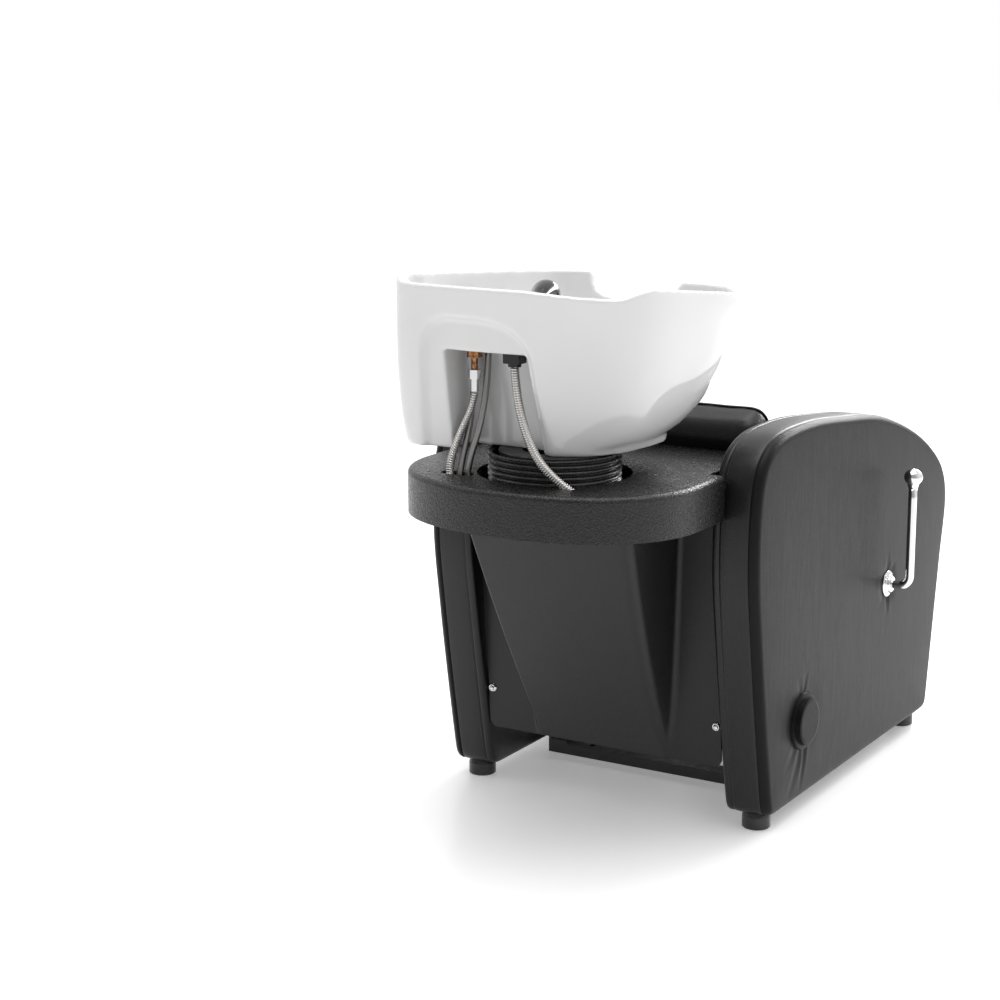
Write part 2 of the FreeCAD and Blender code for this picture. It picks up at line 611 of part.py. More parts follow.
# ---------------------------------------------------------------- hose routes
SHOWER_ROUTE = [(-34, -489, 823.6), (-30, -492, 795), (-17, -502, 755), (6, -517, 717), (33, -531, 684),
                (64, -531, 657), (92, -525, 636), (117, -516, 620)]
OUTLET_ROUTE = [(-119, -475, 773.2), (-121, -482, 748), (-133, -492, 716), (-141, -503, 684),
                (-146, -512, 652),
                (-138, -521, 622), (-112, -538, 603), (-66, -552, 598), (-12, -557, 599), (42, -551, 602),
                (84, -540, 604), (114, -528, 603)]
HOT_ROUTE = [(-133, -452, 845.6), (-131, -457, 806), (-128, -467, 758), (-127, -480, 712), (-128, -498, 670),
             (-131, -507, 632), (-134, -490, 602), (-138, -455, 584), (-141, -420, 560), (-141, -378, 510),
             (-139, -330, 450), (-138, -275, 390), (-141, -215, 330), (-146, -150, 275), (-150, -90, 225),
             (-150, -48, 190), (-150, -40, 156.2)]
COLD_ROUTE = [(-104, -455, 845.6), (-102, -462, 806), (-100, -475, 758), (-103, -489, 712),
              (-112, -501, 670),
              (-117, -505, 632), (-119, -487, 602), (-119, -452, 584), (-118, -414, 556), (-115, -370, 504),
              (-112, -320, 444), (-110, -264, 384), (-107, -204, 324), (-103, -142, 270), (-100, -86, 222),
              (-100, -48, 190), (-100, -40, 156.2)]
WASTE_ROUTE = [(8, -388, 639.7), (8, -388, 602), (8, -380, 568), (7, -364, 535), (6, -337, 503),
               (4, -300, 472),
               (3, -252, 440), (2, -198, 410), (0, -152, 372), (1, -115, 325), (0, -85, 278), (0, -68, 235),
               (0, -60, 196), (0, -60, 160.5)]

# ---------------------------------------------------------------- shelf


def shelf_outline(level, inset=0):
    """Half-oval towards the rear, then a shoulder and a narrower tongue between the panels."""
    half, depth = size("shelf_half") - inset, size("shelf_depth") - inset
    mid_y, power = size("shelf_mid_y"), size("shelf_power")
    neck = size("shelf_neck") - inset
    shoulder = size("shelf_shoulder_y") - inset
    front = size("shelf_front_y") - inset
    arc = []
    steps = 24
    for step in range(steps + 1):
        angle = math.pi * step / steps
        across = math.copysign(abs(math.cos(angle)) ** (2 / power), math.cos(angle))
        back = math.sin(angle) ** (2 / power)
        arc.append(Vector(-half * across, mid_y - depth * back, level))
    curve = Part.BSplineCurve()
    curve.interpolate(arc)
    sides = [arc[-1], Vector(half, shoulder, level), Vector(neck, shoulder, level),
             Vector(neck, front, level), Vector(-neck, front, level),
             Vector(-neck, shoulder, level), Vector(-half, shoulder, level), arc[0]]
    edges = [curve.toShape()]
    edges += [Part.LineSegment(a, b).toShape() for a, b in zip(sides, sides[1:])]
    return Part.Face(Part.Wire(edges))


low, high, skin = size("shelf_base"), size("shelf_top"), size("skin")
shelf = shelf_outline(low).extrude(Vector(0, 0, high - low))
top_edges = [edge for edge in shelf.Edges if edge.BoundBox.ZMin > high - 0.01 and edge.BoundBox.YMin < -390]
shelf = shelf.makeFillet(9, top_edges)
shelf = shelf.cut(shelf_outline(low - 1, skin).extrude(Vector(0, 0, high - low + 1 - skin)))
shelf = shelf.cut(Part.makeCylinder(size("collar_radius"), 20, Vector(0, size("tilt_y"), high - 10)))
SLOT_PLACE, SLOT_REACH, SLOT_RADIUS = Vector(-131, -511, high - 10), 16, 14
slot = Part.makeBox(2 * SLOT_REACH, 2 * SLOT_RADIUS, 20, SLOT_PLACE - Vector(SLOT_REACH, SLOT_RADIUS, 0))
for end in (-SLOT_REACH, SLOT_REACH):
    slot = slot.fuse(Part.makeCylinder(SLOT_RADIUS, 20, SLOT_PLACE + Vector(end, 0, 0)))
shelf = shelf.cut(slot)
for start, end in zip(SHOWER_ROUTE[-3:], SHOWER_ROUTE[-2:]):
    start, end = Vector(*start), Vector(*end)
    way = end - start
    shelf = shelf.cut(Part.makeCylinder(size("hose_thick") + 3, 1.2 * way.Length, start, way))
keep(shaped("shelf", shelf.removeSplitter()))

# ---------------------------------------------------------------- tilt bracket, carrier and bellows
ring = rod("yoke_ring", "96", "4", ("0", "tilt_y", "bellows_base"))
lugs = [box("yoke_lug_%d" % n, (x, "tilt_y - 15", "bellows_base + 2"),
            (x + " + 8", "tilt_y + 15", "tilt_z + 14"))
        for n, x in enumerate(("lug_x - 4", "-lug_x - 4"))]
yoke_blank = fuse("yoke_blank", ring, *lugs)
yoke_hole = rod("yoke_hole", "55", "8", ("0", "tilt_y", "bellows_base - 2"))
yoke_bore = rod("yoke_bore", "pivot_radius + running_gap", "2 * lug_x + 20",
                ("-lug_x - 10", "tilt_y", "tilt_z"), "X")
keep(cut("tilt_yoke", yoke_blank, yoke_hole, yoke_bore))

carrier_disc = rod("carrier_disc", "94", "6", ("0", "tilt_y", "basin_base - 6"))
ears = [box("carrier_ear_%d" % n, (x, "tilt_y - 14", "tilt_z - 13"),
            (x + " + 8", "tilt_y + 14", "basin_base - 4"))
        for n, x in enumerate(("ear_x - 4", "-ear_x - 4"))]
carrier_blank = fuse("carrier_blank", carrier_disc, *ears)
carrier_hole = rod("carrier_hole", "54", "10", ("0", "tilt_y", "basin_base - 8"))
carrier_bore = rod("carrier_bore", "pivot_radius", "2 * ear_x + 20",
                   ("-ear_x - 10", "tilt_y", "tilt_z"), "X")
keep(cut("basin_carrier", carrier_blank, carrier_hole, carrier_bore))

pivots = []
for side in (1, -1):
    pivot = Part.makeCylinder(size("pivot_radius"), 24, Vector(60, 0, 0), Vector(1, 0, 0))
    pivot = pivot.fuse(Part.makeCylinder(8, 4, Vector(82, 0, 0), Vector(1, 0, 0)))
    pivot = pivot if side > 0 else pivot.mirror(Vector(), Vector(1, 0, 0))
    pivots.append(pivot.translated(Vector(0, size("tilt_y"), size("tilt_z"))))
keep(shaped("tilt_pivots", Part.makeCompound(pivots)))


def bellows_solid():
    """A ribbed sleeve: every rib is a shallow V in the wall's profile, inside and out."""
    radius, depth = size("bellows_radius"), size("rib_depth")
    base, top, wall = size("bellows_base"), size("basin_base") - 0.4, 3
    pitch = size("rib_pitch")
    ribs = int((top - base - 8) / pitch)
    outside = [(radius + 6, base), (radius + 6, base + 3), (radius - depth, base + 4)]
    for rib in range(ribs):
        level = base + 4 + rib * pitch
        outside += [(radius, level + 0.35 * pitch), (radius, level + 0.65 * pitch),
                    (radius - depth, level + pitch)]
    outside.append((radius - depth, top))
    inside = [(r - wall, level) for r, level in reversed(outside[2:])]
    inside.append((radius - depth - wall, base))
    corners = [Vector(r, 0, level) for r, level in outside + inside]
    face = Part.Face(Part.makePolygon(corners + corners[:1]))
    return face.revolve(Vector(), Vector(0, 0, 1), 360).translated(Vector(0, size("tilt_y"), 0))


keep(shaped("bellows", bellows_solid()))

# ---------------------------------------------------------------- basin
# Plan outlines (X, Y) at the rim and at the underside; the rear-left corner stands out to carry the taps.
RIM_PLAN = [(-258, -440), (-243, -506), (-140, -532), (-15, -533), (100, -508), (183, -440), (220, -330),
            (224, -215), (182, -128), (80, -100), (-60, -100), (-165, -126), (-218, -220), (-248, -335)]
BASE_PLAN = [(-232, -460), (-222, -502), (-125, -508), (-15, -496), (75, -458), (112, -400), (122, -330),
             (110, -268), (75, -232), (25, -222), (-30, -222), (-80, -234), (-125, -280), (-190, -370)]
BASIN_CENTRE = Vector(-5, -330, 0)
REAR_POINTS = (0, 1, 2, 3, 4)
FLARE = 0.42
RIM_LEVEL = 955


def basin_ring(level, inset=0, shape_level=None):
    """The basin's outline at a level: straight walls at the rear, a quick flare at the sides and front."""
    rise = ((shape_level or level) - size("basin_base")) / (RIM_LEVEL - size("basin_base"))
    points = []
    for index, (rim, base) in enumerate(zip(RIM_PLAN, BASE_PLAN)):
        share = rise if index in REAR_POINTS else max(rise, 0) ** FLARE
        point = Vector(*base, 0) + (Vector(*rim, 0) - Vector(*base, 0)) * share
        inward = (BASIN_CENTRE - point).normalize()
        point = point + inward * inset
        points.append((point.x, point.y, level))
    return smooth_wire(points)


def basin_solid():
    base, floor, wall = size("basin_base"), size("bowl_floor"), size("basin_wall")
    top = 985
    outer_levels = [base + rise for rise in (0, 3, 10, 24, 48, 84, 130, 200)] + [top]
    body = Part.makeLoft([basin_ring(level) for level in outer_levels], True, True)
    inner_levels = [floor + rise for rise in (0, 3, 10, 24, 48, 84, 130, 200)] + [top + 6]
    inner_rings = [basin_ring(level, wall + 2, level - floor + base) for level in inner_levels]
    hollow = Part.makeLoft(inner_rings, True, True)
    deck = Part.makeBox(338, 176, size("deck_top") - 600, Vector(-300, -600, 600))
    body = body.cut(hollow.cut(deck))
    recess = Part.makePolygon([Vector(-150, -600, size("deck_under")), Vector(-2, -600, size("deck_under")),
                               Vector(18, -600, 660), Vector(-150, -600, 660),
                               Vector(-150, -600, size("deck_under"))])
    body = body.cut(Part.Face(recess).extrude(Vector(0, 162, 0)))
    side_line = [(-600, 1000), (-600, 978), (-430, 969), (-260, 957), (-60, 930), (-60, 1000)]
    side_cut = Part.makePolygon([Vector(-320, y, z) for y, z in side_line + side_line[:1]])
    body = body.cut(Part.Face(side_cut).extrude(Vector(640, 0, 0)))
    rear_line = [(-236, 1000), (-225, 956), (-60, 953), (130, 939), (160, 941), (192, 1000)]
    rear_cut = Part.makePolygon([Vector(x, -600, z) for x, z in rear_line + rear_line[:1]])
    body = body.cut(Part.Face(rear_cut).extrude(Vector(0, 155, 0)))
    body = body.cut(Part.makeCylinder(90, 220, Vector(12, -60, 988), Vector(0, -1, 0)))
    body = body.cut(Part.makeCylinder(24, 60, Vector(size("waste_x"), size("waste_y"), base - 20)))
    for x, y, radius in ((size("mixer_x"), size("mixer_y"), 17), (size("shower_x"), size("shower_y"), 11)):
        body = body.cut(Part.makeCylinder(radius, 40, Vector(x, y, size("deck_under") - 10)))
    return body


keep(shaped("basin", basin_solid()))

# ---------------------------------------------------------------- waste, strainer, waste hose
waste_place = ("waste_x", "waste_y", "0")
keep(turned("waste_fitting", [("waste_radius - 2.5", "640"), ("waste_radius", "640"),
                              ("waste_radius", "676"),
                              ("23.5", "680"), ("23.5", "bowl_floor"), ("29", "bowl_floor"),
                              ("28", "bowl_floor + 2.5"), ("22.3", "bowl_floor + 2.5"),
                              ("22.3", "bowl_floor - 6"),
                              ("waste_radius - 2.5", "bowl_floor - 9")], waste_place))
strainer_disc = rod("strainer_disc", "22", "3", ("waste_x", "waste_y", "bowl_floor - 5.5"))
strainer_knob = rod("strainer_knob", "4", "14", ("waste_x", "waste_y", "bowl_floor - 3"))
strainer_blank = fuse("strainer_blank", strainer_disc, strainer_knob)
strainer_holes = []
for turn in range(8):
    angle = math.radians(45 * turn)
    strainer_holes.append(rod("strainer_hole_%d" % turn, "3.5", "6",
                              ("waste_x + %.4f" % (13 * math.cos(angle)),
                               "waste_y + %.4f" % (13 * math.sin(angle)),
                               "bowl_floor - 7")))
keep(cut("hair_strainer", strainer_blank, *strainer_holes))

keep(tube("waste_hose", WASTE_ROUTE, 21, 18))

# The waste pipe's lower 40 mm is its free spigot, below a stop ring.
keep(turned("waste_outlet_pipe", [("17.5", "60"), ("20", "60"), ("20", "100"), ("23", "100"), ("23", "105"),
                                  ("20", "105"), ("20", "160"), ("17.5", "160")],
            ("0", "waste_pipe_y", "0")))

# Each inlet is an elbow block held in the service rail: its thread faces the floor, its nose takes a hose.
inlets = []
for x in (size("hot_inlet_x"), size("cold_inlet_x")):
    inlet = Part.makeCylinder(12.5, 38, Vector(x, -40, 104))
    inlet = inlet.fuse(Part.makeCylinder(10.5, 20, Vector(x, -40, 84)))
    inlet = inlet.fuse(Part.makeCylinder(7, 12, Vector(x, -40, 142)))
    inlet = inlet.fuse(Part.makeCylinder(10.5, 34, Vector(x, -40, 130), Vector(0, 1, 0)))
    inlet = inlet.fuse(Part.makeCylinder(16, 5, Vector(x, -20, 130), Vector(0, 1, 0)))
    inlet = inlet.cut(Part.makeCylinder(4, 72, Vector(x, -40, 83)))
    inlets.append(inlet.removeSplitter())
keep(shaped("water_inlets", Part.makeCompound(inlets)))

# ---------------------------------------------------------------- mixer tap on the deck
mixer_place = ("mixer_x", "mixer_y", "deck_top")
keep(turned("mixer_body", [("0", "0"), ("mixer_radius + 3", "0"), ("mixer_radius + 3", "4"),
                           ("mixer_radius", "6"), ("mixer_radius - 1", "40"), ("0", "40")], mixer_place))
swivel_blank = turned("mixer_swivel_blank", [("0", "40.4"), ("mixer_radius - 1.5", "40.4"),
                                             ("mixer_radius - 1.5", "46"), ("9", "48"), ("9", "56.5"),
                                             ("5.5", "60.5"), ("0", "60.5")], mixer_place)
swivel_bore = rod("mixer_swivel_bore", "flow_pin_radius + running_gap", "24",
                  ("mixer_x - 12", "mixer_y", "deck_top + 58"), "X")
keep(cut("mixer_swivel", swivel_blank, swivel_bore))
cap_blank = rod("mixer_cap_blank", "mixer_radius - 1", "12", ("mixer_x", "mixer_y", "deck_top + 54"))
cap_room = rod("mixer_cap_room", "12", "9", ("mixer_x", "mixer_y", "deck_top + 53"))
handle_blank = box("mixer_handle_blank", ("mixer_x - 7", "mixer_y + 10", "deck_top + 56"),
                   ("mixer_x + 7", "mixer_y + 80", "deck_top + 65"))
lever_blank = fuse("mixer_lever_blank", cap_blank, handle_blank)
# The lever rocks on a pin through the swivel's stem.
flow_pin = rod("mixer_flow_pin", "flow_pin_radius", "32", ("mixer_x - 16", "mixer_y", "deck_top + 58"), "X")
keep(fuse("mixer_lever", cut("mixer_lever_hollow", lever_blank, cap_room), flow_pin))

# Brass tail with its lock nut under the deck, then the hex nut and ferrule of the mixed-water hose.
keep(turned("mixer_tail", [("0", "806"), ("5", "806"), ("5", "deck_under - 14"), ("13", "deck_under - 14"),
                           ("13", "deck_under"), ("5", "deck_under"), ("5", "deck_top - 0.5"),
                           ("0", "deck_top - 0.5")],
            ("mixer_x", "mixer_y", "0")))
corners = [math.radians(60 * n) for n in range(7)]
hexagon = Part.makePolygon([Vector(12.1 * math.cos(turn), 12.1 * math.sin(turn), 0) for turn in corners])
nut = Part.Face(hexagon).extrude(Vector(0, 0, 15)).cut(Part.makeCylinder(5.2, 10, Vector(0, 0, 8.5)))
nut = nut.fuse(Part.makeCylinder(7.6, 22, Vector(0, 0, -21.2)))
nut = shaped("tail_nut", nut.removeSplitter())
nut.Placement = Placement(Vector(size("mixer_x"), size("mixer_y"), 797), Rotation(Vector(0, 0, 1), 20))
keep(nut)

# ---------------------------------------------------------------- hand shower, its holder and hose guide
handle_way = Vector(-66, 211, 50).normalize()
socket_mouth = Vector(size("shower_x"), size("shower_y"), 886) + handle_way * 24
handle_turn = Rotation(Vector(0, 0, 1), handle_way)
handle_pose = Placement(socket_mouth, handle_turn)

post = Part.makeCylinder(15, 26, Vector(size("shower_x"), size("shower_y"), size("deck_top")))
cradle = Part.makeCylinder(15, 30, Vector(0, 0, -30)).transformed(handle_pose.Matrix)
bore = Part.makeCylinder(10 + size("running_gap"), 24, Vector(0, 0, -23)).transformed(handle_pose.Matrix)
keep(shaped("shower_holder", post.fuse(cradle).cut(bore).removeSplitter()))

handle = Part.makeCylinder(10, 22, Vector(0, 0, -22)).fuse(Part.makeCone(13.5, 11, 140, Vector(0, 0, 0.6)))
keep(shaped("shower_handle", handle.removeSplitter()))
kept[-1].Placement = handle_pose
head_pose = Placement(socket_mouth + handle_way * 166, Rotation(Vector(0, 0, 1), Vector(-0.12, 0.35, -0.93)))
head = Part.makeCone(14, 27, 20, Vector(0, 0, -14)).fuse(Part.makeCylinder(27, 6, Vector(0, 0, 6)))
head = head.fuse([Part.makeSphere(14, Vector(0, 0, -13)), Part.makeCylinder(24, 4, Vector(0, 0, 11))])
keep(shaped("shower_head", head.removeSplitter()))
kept[-1].Placement = head_pose

guide = Part.makeBox(32, 30, 16, Vector(-16, -15, 0))
guide = guide.makeFillet(5, [edge for edge in guide.Edges if abs(edge.BoundBox.ZLength - 16) < 0.01])
guide = guide.fuse(Part.makeCylinder(11, 8, Vector(0, 0, -6)))
guide = shaped("hose_guide", guide)
guide.Placement = Placement(Vector(-34, -489, size("deck_under") - 16), Rotation())
keep(guide)

# ---------------------------------------------------------------- hoses
keep(tube("shower_hose", SHOWER_ROUTE, size("hose_thick")))
keep(tube("outlet_hose", OUTLET_ROUTE, size("hose_thick") - 0.5))
keep(tube("hot_hose", HOT_ROUTE, size("hose_thin")))
keep(tube("cold_hose", COLD_ROUTE, size("hose_thin")))

union = Part.makeBox(34, 36, 36, Vector(108, -542, 591))
union = union.makeFillet(6, [edge for edge in union.Edges if edge.BoundBox.ZLength > 20])
keep(shaped("hose_union", union))

# ---------------------------------------------------------------- checks and export
doc.recompute()
for item in doc.Objects:
    faults = [word for word in item.State if word in ("Invalid", "Error")]
    if faults:
        raise RuntimeError("%s: %s" % (item.Name, faults))

os.makedirs("parts", exist_ok=True)
for piece in kept:
    if piece.Shape.isNull() or not piece.Shape.isValid() or piece.Shape.Volume <= 0:
        raise RuntimeError("bad shape: " + piece.Label)
    piece.Shape.exportStep("parts/%s.step" % piece.Label)
print(len(kept), "sub-parts written")
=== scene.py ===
"""The looks of a shampoo backwash unit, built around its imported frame. Metres, +Z up, basin at -Y."""
import math
import bmesh
import bpy
from mathutils import Matrix, Vector
from mathutils.bvhtree import BVHTree


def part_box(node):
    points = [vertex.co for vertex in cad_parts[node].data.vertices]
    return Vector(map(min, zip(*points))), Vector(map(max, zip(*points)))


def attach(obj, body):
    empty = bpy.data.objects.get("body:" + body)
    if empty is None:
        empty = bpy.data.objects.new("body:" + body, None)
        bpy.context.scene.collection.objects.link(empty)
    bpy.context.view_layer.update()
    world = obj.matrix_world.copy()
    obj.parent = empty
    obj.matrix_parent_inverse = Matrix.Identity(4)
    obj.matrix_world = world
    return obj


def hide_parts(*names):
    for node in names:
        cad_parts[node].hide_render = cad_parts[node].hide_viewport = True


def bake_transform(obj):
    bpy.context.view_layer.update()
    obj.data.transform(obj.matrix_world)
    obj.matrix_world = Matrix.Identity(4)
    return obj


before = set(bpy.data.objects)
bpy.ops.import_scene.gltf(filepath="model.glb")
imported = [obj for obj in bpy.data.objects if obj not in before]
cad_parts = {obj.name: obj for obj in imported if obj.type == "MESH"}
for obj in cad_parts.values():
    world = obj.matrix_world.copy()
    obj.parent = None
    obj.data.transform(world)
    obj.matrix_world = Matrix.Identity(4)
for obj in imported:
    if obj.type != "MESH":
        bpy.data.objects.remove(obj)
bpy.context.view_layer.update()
scene = bpy.context.scene
MM = 0.001


# ---------------- materials
class Nodes:
    """A material's node tree with a Principled shader, and short calls for the nodes that feed it."""

    def __init__(self, name, colour, rough, metal=0.0, **sockets):
        self.material = bpy.data.materials.new(name)
        self.material.use_nodes = True
        self.tree = self.material.node_tree
        self.shader = self.tree.nodes["Principled BSDF"]
        self.shader.inputs["Base Color"].default_value = (*colour, 1)
        self.shader.inputs["Roughness"].default_value = rough
        self.shader.inputs["Metallic"].default_value = metal
        for socket, value in sockets.items():
            self.shader.inputs[socket.replace("_", " ")].default_value = value
        self.place = self.tree.nodes.new("ShaderNodeTexCoord").outputs["Object"]
        self.last_normal = None

    def link(self, source, target):
        self.tree.links.new(source, target)

    def stretched(self, scale):
        """Object coordinates, scaled differently along each axis."""
        node = self.tree.nodes.new("ShaderNodeMapping")
        node.inputs["Scale"].default_value = scale
        self.link(self.place, node.inputs["Vector"])
        return node.outputs["Vector"]

    def noise(self, scale, detail=3, place=None, distortion=0.0):
        node = self.tree.nodes.new("ShaderNodeTexNoise")
        node.inputs["Scale"].default_value = scale
        node.inputs["Detail"].default_value = detail
        node.inputs["Distortion"].default_value = distortion
        self.link(place or self.place, node.inputs["Vector"])
        return node.outputs["Fac"]

    def cells(self, scale, feature="F1"):
        node = self.tree.nodes.new("ShaderNodeTexVoronoi")
        node.feature = feature
        node.inputs["Scale"].default_value = scale
        self.link(self.place, node.inputs["Vector"])
        return node.outputs["Distance"]

    def tint(self, value, dark, light, start=0.35, end=0.65):
        """Colour the surface from dark to light as the value goes from start to end."""
        node = self.tree.nodes.new("ShaderNodeValToRGB")
        for element, position, colour in zip(node.color_ramp.elements, (start, end), (dark, light)):
            element.position, element.color = position, (*colour, 1)
        self.link(value, node.inputs["Fac"])
        self.link(node.outputs["Color"], self.shader.inputs["Base Color"])

    def roughen(self, value, low, high):
        """Roughness from low to high over the middle of the value's range."""
        node = self.tree.nodes.new("ShaderNodeMapRange")
        for socket, number in (("From Min", 0.3), ("From Max", 0.7), ("To Min", low), ("To Max", high)):
            node.inputs[socket].default_value = number
        self.link(value, node.inputs["Value"])
        self.link(node.outputs["Result"], self.shader.inputs["Roughness"])

    def bump(self, height, depth, strength=1.0):
        """Add relief `depth` metres deep on top of any relief that the material has."""
        node = self.tree.nodes.new("ShaderNodeBump")
        node.inputs["Distance"].default_value = depth
        node.inputs["Strength"].default_value = strength
        self.link(height, node.inputs["Height"])
        if self.last_normal is not None:
            self.link(self.last_normal, node.inputs["Normal"])
        self.last_normal = node.outputs["Normal"]
        for link in list(self.shader.inputs["Normal"].links):
            self.tree.links.remove(link)
        self.link(self.last_normal, self.shader.inputs["Normal"])


def leather(name, dark, light, rough, shine):
    """Coated leatherette: a fine pebbled grain with faint vertical draw marks."""
    m = Nodes(name, dark, rough, Specular_IOR_Level=shine)
    m.tint(m.noise(1, 4, m.stretched((260, 260, 12))), dark, light, 0.3, 0.72)
    m.roughen(m.noise(1, 3, m.stretched((200, 200, 16))), rough - 0.02, rough + 0.04)
    m.bump(m.cells(620, "SMOOTH_F1"), 0.0005, 0.55)
    m.bump(m.noise(1900, 2), 0.00018, 0.5)
    m.bump(m.noise(1, 3, m.stretched((60, 60, 5))), 0.0006, 0.12)
    return m.material


def moulded(name, dark, light, grain, depth, rough, shine):
    """Textured ABS whose grain is about 1/grain metres across."""
    m = Nodes(name, dark, rough, Specular_IOR_Level=shine)
    m.tint(m.noise(grain * 0.8, 2), dark, light, 0.4, 0.66)
    m.roughen(m.noise(grain * 0.5, 2), rough - 0.1, rough + 0.12)
    m.bump(m.noise(grain, 2), depth, 0.9)
    m.bump(m.cells(grain * 1.2), depth * 0.6, 0.6)
    return m.material


def metal(name, colour, rough, grain=(30, 400, 400), depth=0.00002):
    """Plated or polished metal with faint polishing lines and smudges."""
    m = Nodes(name, colour, rough, 1.0)
    m.roughen(m.noise(35, 3), max(rough - 0.03, 0.02), rough + 0.06)
    m.bump(m.noise(1, 2, m.stretched(grain)), depth, 0.4)
    return m.material


def ceramic():
    m = Nodes("glazed_ceramic", (0.74, 0.74, 0.74), 0.1, Coat_Weight=0.5, Coat_Roughness=0.03,
              Specular_IOR_Level=0.5)
    m.tint(m.noise(3.5, 3), (0.72, 0.72, 0.72), (0.76, 0.76, 0.757))
    m.roughen(m.noise(12, 4), 0.07, 0.16)
    m.bump(m.noise(9, 2), 0.0012, 0.12)
    m.bump(m.noise(160, 2), 0.00005, 0.25)
    return m.material


def plywood():
    m = Nodes("birch_plywood", (0.6, 0.45, 0.28), 0.6)
    m.tint(m.noise(1, 5, m.stretched((8, 90, 90)), 1.5), (0.5, 0.34, 0.19), (0.68, 0.52, 0.34))
    m.roughen(m.noise(60, 3), 0.5, 0.7)
    m.bump(m.noise(1, 4, m.stretched((20, 300, 300))), 0.0002, 0.6)
    return m.material


def plain(name, stain, rough, relief, **sockets):
    """An even finish: stain (noise scale, dark, light), roughness (scale, low, high), relief (scale, depth,
    strength)."""
    m = Nodes(name, stain[1], rough[1], **sockets)
    m.tint(m.noise(stain[0], 3), *stain[1:])
    m.roughen(m.noise(rough[0], 3), *rough[1:])
    m.bump(m.noise(relief[0], 2), *relief[1:])
    return m.material


def painted(name, colour, rough):
    return plain(name, (18, colour, tuple(1.5 * c for c in colour)), (40, rough - 0.08, rough + 0.1),
                 (700, 0.00012, 0.6), Specular_IOR_Level=0.5)


def gloss_black():
    m = Nodes("polished_black", (0.004, 0.004, 0.004), 0.12, Coat_Weight=0.15, Coat_Roughness=0.03,
              Specular_IOR_Level=0.35)
    m.roughen(m.noise(50, 3), 0.08, 0.18)
    m.bump(m.noise(300, 2), 0.00003, 0.3)
    return m.material


def tarnished(name, dark, light):
    """Raw brass or copper with heat and water marks."""
    m = Nodes(name, light, 0.3, 1.0)
    m.tint(m.noise(160, 4), dark, light, 0.35, 0.6)
    m.roughen(m.noise(240, 3), 0.2, 0.45)
    m.bump(m.noise(700, 2), 0.00008, 0.5)
    return m.material


PAD = leather("leatherette_pad", (0.0058, 0.0056, 0.0055), (0.0082, 0.008, 0.0078), 0.4, 0.12)
WRAP = leather("leatherette_border", (0.005, 0.0049, 0.0048), (0.0075, 0.0073, 0.0072), 0.3, 0.34)
SEAT = leather("leatherette_cushion", (0.0055, 0.0054, 0.0053), (0.008, 0.0078, 0.0076), 0.34, 0.36)
THREAD = painted("grey_thread", (0.035, 0.035, 0.035), 0.6)
FINE_ABS = moulded("fine_grained_plastic", (0.005, 0.005, 0.005), (0.009, 0.0089, 0.0087), 900, 0.00022,
                   0.42, 0.38)
PEBBLE_ABS = moulded("pebbled_plastic", (0.004, 0.004, 0.004), (0.014, 0.0138, 0.0135), 340, 0.0013,
                     0.27, 0.42)
CAP_ABS = moulded("matt_plastic", (0.004, 0.004, 0.004), (0.006, 0.006, 0.006), 1200, 0.0001, 0.4, 0.08)
CHROME = metal("polished_chrome", (0.74, 0.74, 0.75), 0.06)
ZINC = metal("zinc_plate", (0.55, 0.56, 0.58), 0.32, depth=0.00005)
COIL = metal("spiral_steel", (0.5, 0.485, 0.47), 0.2)
BRAID = metal("braided_steel", (0.36, 0.355, 0.35), 0.34, (500, 500, 500), 0.00015)
BLACK_STEEL = painted("powder_coat", (0.014, 0.014, 0.0145), 0.45)
CERAMIC, PLYWOOD, GLOSS = ceramic(), plywood(), gloss_black()
RUBBER = plain("matt_rubber", (25, (0.011, 0.011, 0.011), (0.02, 0.0198, 0.0195)), (90, 0.22, 0.34),
               (1200, 0.00015, 0.5), Specular_IOR_Level=0.5)
WASTE = plain("grey_polypropylene", (14, (0.48, 0.48, 0.47), (0.6, 0.6, 0.59)), (80, 0.36, 0.52),
              (500, 0.0001, 0.5))
BRASS = tarnished("raw_brass", (0.3, 0.17, 0.07), (0.62, 0.4, 0.18))
COPPER = tarnished("stained_copper", (0.1, 0.045, 0.02), (0.5, 0.24, 0.11))

NODE_LOOKS = {
    BLACK_STEEL: "floor_crossbar crossbar_uprights seat_frame support_beam support_arms support_table "
                 "tilt_yoke leg_rest_brackets basin_carrier",
    PLYWOOD: "panel_core_right panel_core_left cover_blocks",
    WRAP: "leg_rest_board seat_board",
    ZINC: "panel_bolts leg_rest_bearings lever_bushing tilt_pivots lever_crank connecting_rod leg_rest_shaft "
          "leg_rest_drive_arm",
    CHROME: "cover_screws waste_fitting hair_strainer mixer_body mixer_swivel mixer_lever tail_nut",
    RUBBER: "glide_feet",
    CAP_ABS: "access_cap_right access_cap_left",
    PEBBLE_ABS: "shelf",
    GLOSS: "shower_holder hose_guide",
    BRASS: "water_inlets hose_union",
    COPPER: "mixer_tail",
    WASTE: "waste_outlet_pipe",
}
for look, names in NODE_LOOKS.items():
    for name in names.split():
        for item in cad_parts[name].material_slots:
            item.material = look


# ---------------- mesh helpers
def placed(name, data):
    """A new object in the scene."""
    obj = bpy.data.objects.new(name, data)
    scene.collection.objects.link(obj)
    return obj


def loose(name, verts, faces):
    """A working mesh object that isn't a piece yet."""
    mesh = bpy.data.meshes.new(name)
    mesh.from_pydata([tuple(v) for v in verts], [], faces)
    tidy_mesh(mesh)
    return placed(name, mesh)


def piece(name, verts, faces, look, body, slot, nodes=()):
    """A smooth-shaded mesh piece that rides on a body, or on none when body is None, and may stand for CAD
    nodes.
    """
    return adopt(loose(name, verts, faces), look, body, slot, nodes)


